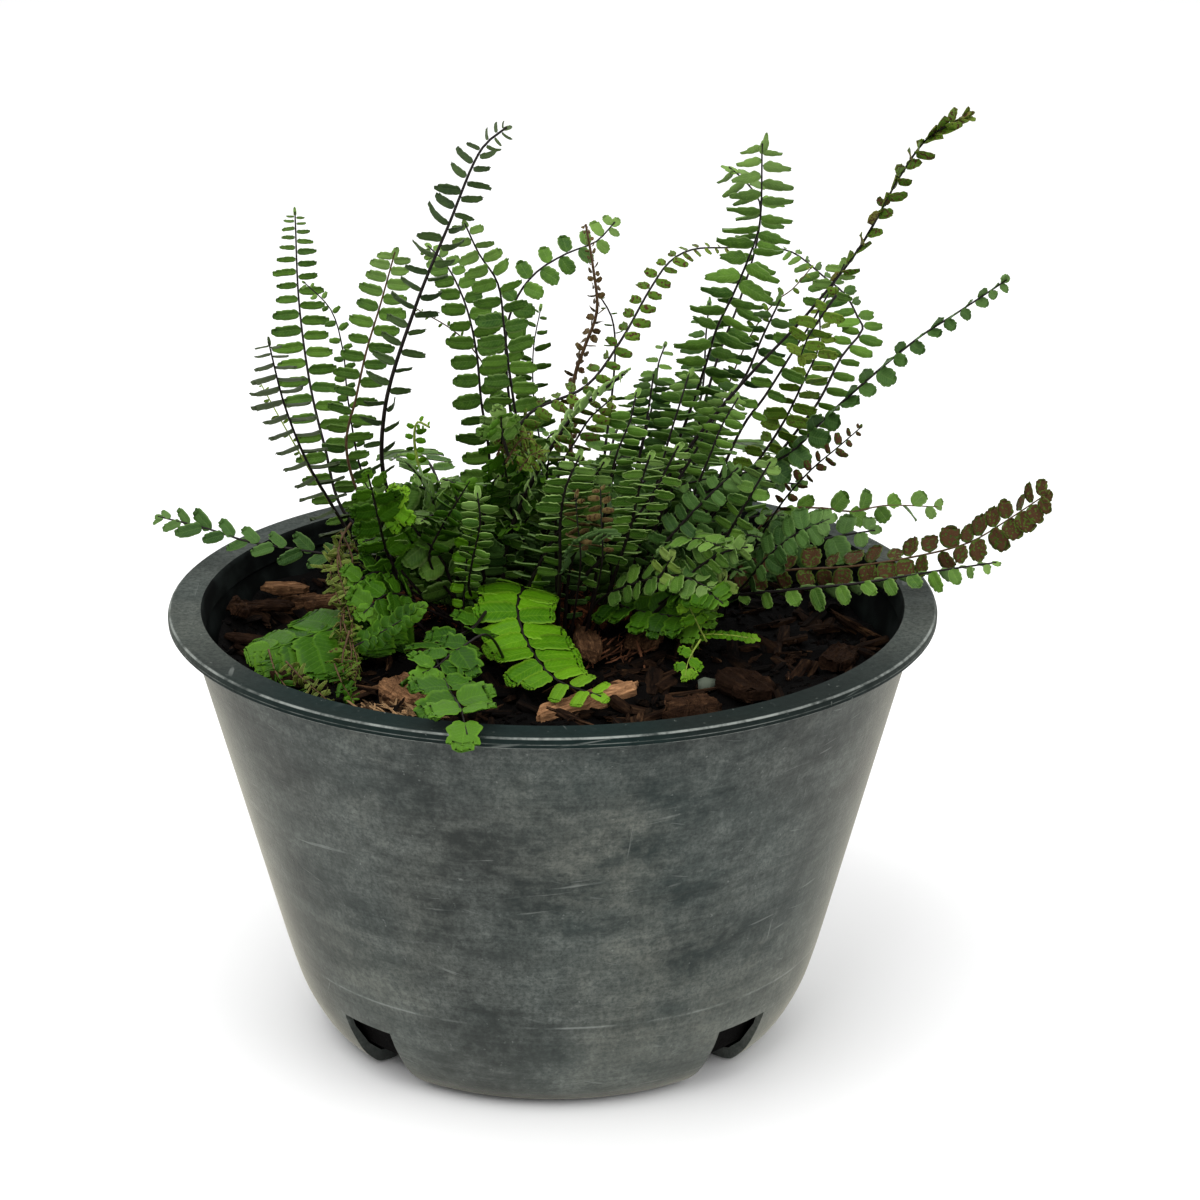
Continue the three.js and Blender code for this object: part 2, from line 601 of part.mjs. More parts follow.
// Stations along a frond: the straight foot in its hole, the bare stem, and the leafy part,
// where each leaflet pair has one short stretch of rib of its own.
function frondStations([name, , root, path, given]) {
  const o = { ...FROND_DEFAULTS, face: FRONT, ...given };
  const rootPoint = vec(root[0], root[1], groundTop(root[0], root[1]));
  const lean = vec(...path[0]).sub(rootPoint).normalize();
  const footWay = UP.clone().multiplyScalar(1.2).add(lean).normalize();
  const points = [
    rootPoint.clone(),
    rootPoint.clone().addScaledVector(footWay, 4),
    ...path.map((p) => vec(...p)),
  ];
  const curve = new THREE.CatmullRomCurve3(points, false, 'centripetal');
  curve.arcLengthDivisions = 400;
  const total = curve.getLength();
  const leafy = o.pairs > 0;
  const bareEnd = leafy ? o.start : 1;
  const bareSteps = Math.max(3, Math.round((bareEnd * total) / BARE_STEP));
  const marks = [];
  for (let i = 0; i <= bareSteps; i += 1) marks.push({ u: (i / bareSteps) * bareEnd });
  if (leafy) {
    const lastLeaf = 1 - o.end / total;
    const step = (lastLeaf - o.start) / o.pairs;
    for (let i = 0; i < o.pairs; i += 1) {
      const middle = o.start + step * (i + 0.55);
      const share = (i + 0.5) / o.pairs;
      const size = Math.min(1, 0.74 + 0.9 * share, 1.5 * (1 - share) + 0.36);
      const wide = Math.min(o.wide * size, step * total * 0.86);
      const half = (wide * 0.3) / total;
      marks.push({ u: middle - half, leaf: { long: o.long * size, wide } });
      marks.push({ u: middle + half });
    }
    const blade = Math.min(o.wide * 0.32, o.end * 0.34);
    marks.push({ u: 1 - (o.end * 0.5) / total, half: blade, flat: LEAF_THICKNESS / 2 });
    marks.push({ u: 1, half: 0.32, flat: LEAF_THICKNESS / 2 });
  }
  const face = vec(...o.face).normalize();
  const stations = marks.map((mark) => {
    const centre = curve.getPointAt(mark.u);
    const along = curve.getTangentAt(mark.u);
    const up = face.clone().addScaledVector(along, -face.dot(along)).normalize();
    const side = along.clone().cross(up).normalize();
    const half = mark.half ?? Math.max(0.36, o.stem * (1 - 0.6 * mark.u));
    return { centre, along, up, side, half, flat: mark.flat ?? half, leaf: mark.leaf };
  });
  const first = stations[0];
  first.along = footWay.clone();
  first.up = face.clone().addScaledVector(footWay, -face.dot(footWay)).normalize();
  first.side = footWay.clone().cross(first.up).normalize();
  const footCentre = first.centre.clone().addScaledVector(footWay, -STEM_DEPTH);
  const foot = { ...first, leaf: undefined, centre: footCentre };
  return { name, o, stations: [foot, ...stations], footWay };
}

// Boxes round each stretch of rib.
function ribBoxes(stations) {
  return stations.slice(0, -1).map((a, i) => {
    const b = stations[i + 1];
    const along = b.centre.clone().sub(a.centre);
    const length = along.length();
    along.normalize();
    const up = a.up.clone().addScaledVector(along, -a.up.dot(along)).normalize();
    const side = along.clone().cross(up);
    const halves = [length / 2, Math.max(a.half, b.half), Math.max(a.flat, b.flat)];
    return spaceBox(a.centre.clone().add(b.centre).multiplyScalar(0.5), [along, side, up], halves);
  });
}

// Outlines as shares of a leaflet's length and width: two shoulders and a blunt tip, or two
// corners on a small one.
const LEAFLET_OUTLINE = [[0.66, -0.5], [1, 0.06], [0.62, 0.5]];
const SMALL_OUTLINE = [[0.94, -0.42], [0.9, 0.46]];

// One leaflet's outline in its place, on the side of the rib that hand gives.
function leafletShape(station, next, hand, leaf, fold, twist, sweep) {
  const base = station.centre.clone().add(next.centre).multiplyScalar(0.5);
  const side = station.side.clone().multiplyScalar(hand);
  base.addScaledVector(side, station.half);
  const turned = (from, to, angle) =>
    from.clone().multiplyScalar(Math.cos(angle)).addScaledVector(to, Math.sin(angle));
  const out = turned(side, station.up, fold);
  const way = turned(out, station.along, sweep).normalize();
  const across = turned(station.along, station.up, twist);
  across.addScaledVector(way, -across.dot(way)).normalize();
  const over = across.clone().cross(way).multiplyScalar(-hand).normalize();
  const at = ([u, v]) =>
    base.clone().addScaledVector(way, u * leaf.long).addScaledVector(across, v * leaf.wide);
  const outline = (leaf.long < SMALL_LEAF ? SMALL_OUTLINE : LEAFLET_OUTLINE).map(at);
  const middle = base.clone().addScaledVector(way, leaf.long * 0.56);
  const halves = [leaf.long * 0.44, leaf.wide * 0.5, LEAF_THICKNESS / 2];
  return { outline, over, box: spaceBox(middle, [way, across, over], halves) };
}

function clearOfGround(shape) {
  return shape.outline.every((p) => {
    const radius = Math.hypot(p.x, p.y);
    if (radius > RIM_RADIUS + RIM_CLEARANCE) return true;
    if (radius > RIM_INNER_RADIUS - 2 * RIM_CLEARANCE) return p.z > POT_HEIGHT + RIM_CLEARANCE;
    return p.z > groundTop(p.x, p.y) + RIM_CLEARANCE;
  });
}

const chipBoxes = CHIPS.map(([, [x, y], length, width, thickness, turn]) => {
  const along = vec(Math.cos(radians(turn)), Math.sin(radians(turn)), 0);
  const across = vec(-along.y, along.x, 0);
  const centre = vec(x, y, mixTop(x, y) + thickness * CHIP_LIFT);
  return spaceBox(centre, [along, across, UP.clone()], [length / 2, width / 2, thickness / 2 + 1]);
});

const laidOut = FRONDS.map((row) => ({ row, ...frondStations(row) }));
for (const frond of laidOut) frond.boxes = ribBoxes(frond.stations);
const TRIES = [0, 18, -18, 36, -36, 54, -54, 72, -72];
const SIZES = [1, 0.75];

// Gives a leaflet the first fold and size that keep it clear of everything placed before it.
function placeLeaflet(frond, station, next, hand, random) {
  const { o } = frond;
  const own = frond.boxes;
  const others = laidOut.filter((other) => other !== frond);
  for (const size of SIZES) {
    for (const more of TRIES) {
      const long = station.leaf.long * size * (0.92 + 0.16 * random());
      const leaf = { long, wide: station.leaf.wide * size };
      const fold = radians(o.fold + more);
      const twist = radians(hand < 0 ? (o.twistLeft ?? o.twist) : o.twist);
      const shape = leafletShape(station, next, hand, leaf, fold, twist, radians(o.sweep));
      if (!clearOfGround(shape)) continue;
      const meets = (box) => boxesMeet(shape.box, box, LEAF_CLEARANCE);
      const meetsOwn = (box) => boxesMeet(shape.box, box, OWN_CLEARANCE);
      if (chipBoxes.some(meets) || others.some((other) => other.boxes.some(meets))) continue;
      if (own.slice(frond.stations.length - 1).some(meetsOwn)) continue;
      own.push(shape.box);
      return shape;
    }
  }
  return null;
}

const RIB_CORNERS = [[-1, 1], [1, 1], [1, -1], [-1, -1]];

// One closed body: a four-sided rib whose side faces open into the leaflets.
function frondGeometry(frond) {
  const { stations } = frond;
  const random = randomFrom(frond.name);
  const points = [];
  const triangles = [];
  const add = (p) => points.push(p.clone()) - 1;
  const corners = stations.map((s) =>
    RIB_CORNERS.map(([a, b]) =>
      add(s.centre.clone().addScaledVector(s.side, a * s.half).addScaledVector(s.up, b * s.flat)),
    ),
  );
  const quad = (a, b, c, d) => triangles.push(a, b, c, a, c, d);
  const leaflet = (shape, top, bottom) => {
    const raised = (by) => shape.outline.map((p) => add(p.clone().addScaledVector(shape.over, by)));
    const tops = [top[0], ...raised(LEAF_THICKNESS / 2), top[1]];
    const bottoms = [bottom[0], ...raised(-LEAF_THICKNESS / 2), bottom[1]];
    for (let i = 1; i < tops.length - 1; i += 1) {
      triangles.push(tops[0], tops[i], tops[i + 1]);
      triangles.push(bottoms[0], bottoms[i + 1], bottoms[i]);
    }
    for (let i = 0; i < tops.length - 1; i += 1) quad(bottoms[i], bottoms[i + 1], tops[i + 1], tops[i]);
  };
  for (let i = 0; i < stations.length - 1; i += 1) {
    const [a, b] = [corners[i], corners[i + 1]];
    const leafy = Boolean(stations[i].leaf);
    const right = leafy ? placeLeaflet(frond, stations[i], stations[i + 1], 1, random) : null;
    const left = leafy ? placeLeaflet(frond, stations[i], stations[i + 1], -1, random) : null;
    quad(a[0], a[1], b[1], b[0]);
    quad(a[2], a[3], b[3], b[2]);
    if (right) leaflet(right, [a[1], b[1]], [a[2], b[2]]);
    else quad(a[1], a[2], b[2], b[1]);
    if (left) {
      left.outline.reverse();
      leaflet(left, [b[0], a[0]], [b[3], a[3]]);
    } else quad(a[3], a[0], b[0], b[3]);
  }
  const [start, end] = [corners[0], corners[corners.length - 1]];
  quad(start[0], start[3], start[2], start[1]);
  quad(end[0], end[1], end[2], end[3]);
  return geometryFrom(points, triangles);
}

// The plain hole that a stem's foot stands in.
function footHole(frond) {
  const [foot, root] = frond.stations;
  const half = root.half + HOLE_GAP;
  const points = [];
  for (const [station, reach] of [[foot, -HOLE_GAP], [root, HOLE_TOP]]) {
    const centre = station.centre.clone().addScaledVector(frond.footWay, reach);
    for (const [a, b] of RIB_CORNERS) {
      const corner = centre.clone().addScaledVector(station.side, a * half);
      points.push(corner.addScaledVector(station.up, b * half));
    }
  }
  const sides = [0, 1, 2, 3].flatMap((i) => {
    const j = (i + 1) % 4;
    return [i, j, 4 + j, i, 4 + j, 4 + i];
  });
  const ends = [0, 3, 2, 0, 2, 1, 4, 5, 6, 4, 6, 7];
  return solidOf(geometryFrom(points, [...sides, ...ends]));
}

let mix = makeMix().subtract(makeCrown(CROWN_GAP));
let crown = makeCrown(0);
for (const chip of CHIPS) mix = mix.subtract(solidOf(makeChip(chip, CHIP_GAP)));
for (const frond of laidOut) {
  const hole = footHole(frond);
  crown = crown.subtract(hole);
  mix = mix.subtract(hole);
}

addPart('pot', geometryOf(makePot()), 0x3c4443, 0.6);
addPart('potting_mix', geometryOf(mix), 0x241a14, 0.95);
addPart('rhizome_crown', geometryOf(crown), 0x5c3922, 0.9);
for (const chip of CHIPS) addPart(chip[0], makeChip(chip, 0), chip[7], 0.9);
for (const frond of laidOut) addPart(frond.name, frondGeometry(frond), frond.row[1], 0.6);

export default part;
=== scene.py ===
"""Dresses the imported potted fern: pot, potting mix, bark, crown and fronds, with a plain stage."""

import json
import math
import random

import bpy
from mathutils import Matrix, Vector, noise


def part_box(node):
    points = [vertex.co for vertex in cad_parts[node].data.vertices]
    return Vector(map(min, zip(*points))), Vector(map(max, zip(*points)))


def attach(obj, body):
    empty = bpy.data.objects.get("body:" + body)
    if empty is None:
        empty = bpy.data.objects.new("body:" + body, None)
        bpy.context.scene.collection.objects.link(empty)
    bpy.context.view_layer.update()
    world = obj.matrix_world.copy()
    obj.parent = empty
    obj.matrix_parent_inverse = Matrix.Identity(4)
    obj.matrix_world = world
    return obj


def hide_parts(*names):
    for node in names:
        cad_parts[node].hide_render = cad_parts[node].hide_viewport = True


bl_info = {
    "name": "Potted Fern",
    "version": (1, 0, 0),
    "blender": (4, 5, 0),
    "location": "3D View > Sidebar > Fern",
    "description": "Builds a potted fern, piece by piece, round its packed frame",
    "category": "Add Mesh",
}

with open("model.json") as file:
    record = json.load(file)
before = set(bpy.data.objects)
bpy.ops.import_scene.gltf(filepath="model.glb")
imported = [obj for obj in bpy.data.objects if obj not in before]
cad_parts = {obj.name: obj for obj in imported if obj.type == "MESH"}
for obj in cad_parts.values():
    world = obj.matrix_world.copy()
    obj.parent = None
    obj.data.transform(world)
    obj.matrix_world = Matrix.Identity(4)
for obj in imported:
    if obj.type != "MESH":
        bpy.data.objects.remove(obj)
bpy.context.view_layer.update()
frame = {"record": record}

# The frame gives the driving sizes. Points given below are in millimetres.
MM = 0.001
POT_LOW, POT_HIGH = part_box("pot")
RIM_RADIUS = (POT_HIGH.x - POT_LOW.x) / 2
POT_HEIGHT = POT_HIGH.z - POT_LOW.z
CROWN_LOW, CROWN_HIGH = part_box("rhizome_crown")
CROWN_CENTRE = (CROWN_LOW + CROWN_HIGH) / 2
CROWN_RADII = (CROWN_HIGH - CROWN_LOW) / 2

# Pot, in millimetres, for a rim of PLAN_RADIUS and a height of PLAN_HEIGHT: radius and height of
# points up the outside, over the rim and down the inside.
PLAN_RADIUS = 100
PLAN_HEIGHT = 117
FOOT_CENTRE = [(0, 0), (40, 0)]
WALL_FOOT = (72.3, 30)
WALL_TOP = (94.35, 112.2)
WALL_SHARES = (0.1, 0.3, 0.5, 0.7, 0.9)
POT_CORNER = [(53.5, 0), (56.6, 0.5), (58.8, 1.8), (62.8, 6), (67.2, 14), (70, 22), WALL_FOOT]
CORNER_STEPS = 3
POT_RIM = [
    (94.6, 112.9), (95.3, 113.7), (97.6, 113.95), (98.6, 113.9), (99.5, 114.0), (99.95, 114.5),
    (100, 115.6), (99.75, 116.4), (99.2, 116.85), (98.4, 116.95), (97.7, 116.75), (94.4, 116.6),
    (92.4, 116.8), (91.5, 116.9), (91.05, 116.3), (90.95, 115.2),
]
POT_INSIDE = [
    (90.4, 110.5), (90.9, 110.0), (91.3, 109.5), (70.2, 30), (67.8, 21), (65.2, 13.6), (60.6, 7),
    (56.4, 3.6), (51, 2.6), (30, 2.6), (0, 2.6),
]
POT_SEAM_HEIGHT = 27.5
RIM_UNDERSIDE = 113.85
FLOOR_BELOW = 20
SHARP_ANGLE = 32
NOTCH_SIZE = (17, 33, 18)
NOTCH_INNER_RADIUS = 47
NOTCH_BELOW = 4
NOTCH_AZIMUTHS = (45, 135, 225, 315)

# A square about the middle, and the faces of a block with such a square below and above.
SQUARE = ((-1, -1), (1, -1), (1, 1), (-1, 1))
BLOCK_FACES = [(0, 3, 2, 1), (4, 5, 6, 7), (0, 1, 5, 4), (1, 2, 6, 5), (2, 3, 7, 6), (3, 0, 4, 7)]

# Potting mix, in millimetres: the same uneven mound as in the solids, as rings out to MIX_REACH,
# then radius and height of points down its side.
MIX_LEVEL = 100.2
MIX_GAP = 0.32
MIX_REACH = 87.6
MIX_RINGS = 46
MIX_SIDES = 132
MIX_SIDE = [(88.4, 98.6), (70.2, 30), (60.4, 7.4), (50.8, 3)]
MOUND_HEIGHT = 2.4
MOUND_MIDDLE = (2, 40)
MOUND_SPREAD = (3000, 1500)
BERM_RADIUS = 90
BERM_WIDTH = 8
BERM_TURN = 0.25
BERM_REACH = 0.55
BERM_HEIGHT = 2
BERM_HEIGHT_LEFT = 6


def mix_top(x, y):
    """Height of the mix over a point, in millimetres."""
    across, back = x - MOUND_MIDDLE[0], y - MOUND_MIDDLE[1]
    mound = MOUND_HEIGHT * math.exp(-(across ** 2 / MOUND_SPREAD[0] + back ** 2 / MOUND_SPREAD[1]))
    waves = 0.8 * math.sin(x * 0.16 + 1.3) * math.cos(y * 0.13) + 0.6 * math.sin(x * 0.31 - y * 0.27)
    return MIX_LEVEL + mound + waves


def berm(x, y):
    """How far the mix is pressed up along the wall, most at the left, in millimetres."""
    near_wall = math.exp(-(((math.hypot(x, y) - BERM_RADIUS) / BERM_WIDTH) ** 2))
    to_left = math.exp(-(((math.atan2(y, -x) - BERM_TURN) / BERM_REACH) ** 2))
    return near_wall * (BERM_HEIGHT + BERM_HEIGHT_LEFT * to_left)


def ground_top(x, y):
    """Height of the mix or of the crown over a point, in millimetres."""
    centre = CROWN_CENTRE / MM
    radii = CROWN_RADII / MM
    rest = 1 - ((x - centre.x) / radii.x) ** 2 - ((y - centre.y) / radii.y) ** 2
    crown = centre.z + radii.z * math.sqrt(rest) if rest > 0 else 0
    return max(mix_top(x, y), crown)


# Bark chips: middle, length, width, thickness, turn, tilt, and how light the wood is.
CHIPS = {
    "bark_long_front": ((9, -34), 34, 7, 4.2, 37, -4, 1.0),
    "bark_upright_brown": ((9, 3), 24, 6.5, 4.5, 97, 6, 0.5),
    "bark_reddish": ((24, 10), 14, 9, 4, 75, 8, 0.45),
    "bark_block_front": ((35, -46), 15, 13, 7, 10, 3, 0.26),
    "bark_slab_right": ((49, -24), 22, 12, 5, 118, 5, 0.07),
    "bark_edge_right": ((75, -4), 17, 9, 4.5, 74, 6, 0.12),
    "bark_fibrous_left": ((-38, -30), 17, 12, 6, 128, -5, 0.7),
    "bark_back_left": ((-66, 38), 20, 8, 4, 20, 2, 0.5),
}

# Loose chips on the mix that no solid stands for: as above, with the height of the middle.
LOOSE_CHIPS = {
    "loose_left_pale": ((-72, 36, 107.5), 13, 4, 2.4, 4, 8, 0.7),
    "loose_left_brown": ((-83, 17, 108.5), 8, 6, 3.6, 70, 30, 0.16),
    "loose_left_dark": ((-77, 26, 106), 17, 4, 2.4, 20, 14, 0.1),
    "loose_left_grey": ((-79, 2, 105), 15, 3.4, 2, -12, 10, 0.12),
    "loose_left_front": ((-68, -22, 103.5), 16, 5, 2.6, -35, 6, 0.14),
}

# A chip's outline as shares of its length and width: its lower and its upper edge.
SLAB_LOWER = [(-0.5, -0.18), (-0.24, -0.5), (0.36, -0.46), (0.5, 0.16)]
SLAB_UPPER = [(-0.5, -0.18), (-0.4, 0.44), (0.22, 0.5), (0.5, 0.16)]

# Frayed wood: middle, reach, way that the fibres run in degrees, pieces to the square metre, lift
# in the middle and colour.
FIBRE_CLUMPS = {
    "fibres_front": ((-40, -46), 11, 128, 420000, 2.2, (0.28, 0.17, 0.085)),
    "fibres_crown": ((-44, 27), 9, 20, 380000, 8.0, (0.14, 0.05, 0.022)),
    "fibres_middle": ((16, 4), 9, 70, 160000, 1.0, (0.12, 0.05, 0.025)),
}

# Pieces strewn over the mix: size, smallest and largest share of it, tilt, lift and bend.
MIX_LAYERS = {
    "mix_granules": dict(size=(2.6, 1.9, 1.5), sizes=(0.5, 1.15), tilt=0.7, lift=0.0, bent=0.0),
    "mix_chips": dict(size=(8.4, 3.2, 2.0), sizes=(0.4, 1.3), tilt=0.5, lift=0.8, bent=0.0),
    "mix_slivers": dict(size=(13.0, 1.1, 0.9), sizes=(0.4, 1.25), tilt=0.35, lift=1.6, bent=0.08),
}
FIBRE_SIZE = (8.5, 0.55, 0.45)
SCALE_SIZE = (4.2, 0.8, 0.35)
SCALES_DENSITY = 190000
PEBBLE_SIZE = (4.4, 4, 3.4)
PEBBLE_PLACE = (39.5, -21)
PEBBLE_LIFT = 1.6
PEBBLE_STONE = (0.085, 0.1, 0.075)
CROWN_RUST = (0.12, 0.042, 0.017)

# Fronds. A path runs to the tip, in millimetres, and its first point is a root on the ground if it
# has no height. Next stand the number of pairs of leaflets, their length and their width. start is
# the bare share of the length, face is the way that the upper sides look, and fold, twist and sweep
# turn a leaflet about the rib, about its own length and towards the tip. level brings leaflets
# level on a leaning rib, droop lowers their tips, taper is how fast they shrink towards the tip,
# and crowd sets them closer there. tip is the last one's share of the size, end is for the bare
# length before it, curl and loose are how far leaflets bend and differ, and uneven and stem are the
# crumpling and the rib's radius. leaf is the outline, and look and rib are the materials.
FROND_DEFAULTS = dict(
    leaf="oval", look="green", rib="dark", start=0.16, fold=0, fold_left=None, twist=0, twist_left=None,
    base_twist=0, sweep=12, level=0, droop=0, taper=2.1, crowd=1.15, tip=0.42, end=4, curl=0.1, loose=1.0,
    uneven=1.8, stem=0.56, face=(0.1, -0.85, 0.5),
)


def leafy(path, pairs, long, wide, **options):
    """A row of the tables below. In STRANDS the path is a list of paths."""
    return dict(path=path, pairs=pairs, long=long, wide=wide, **options)


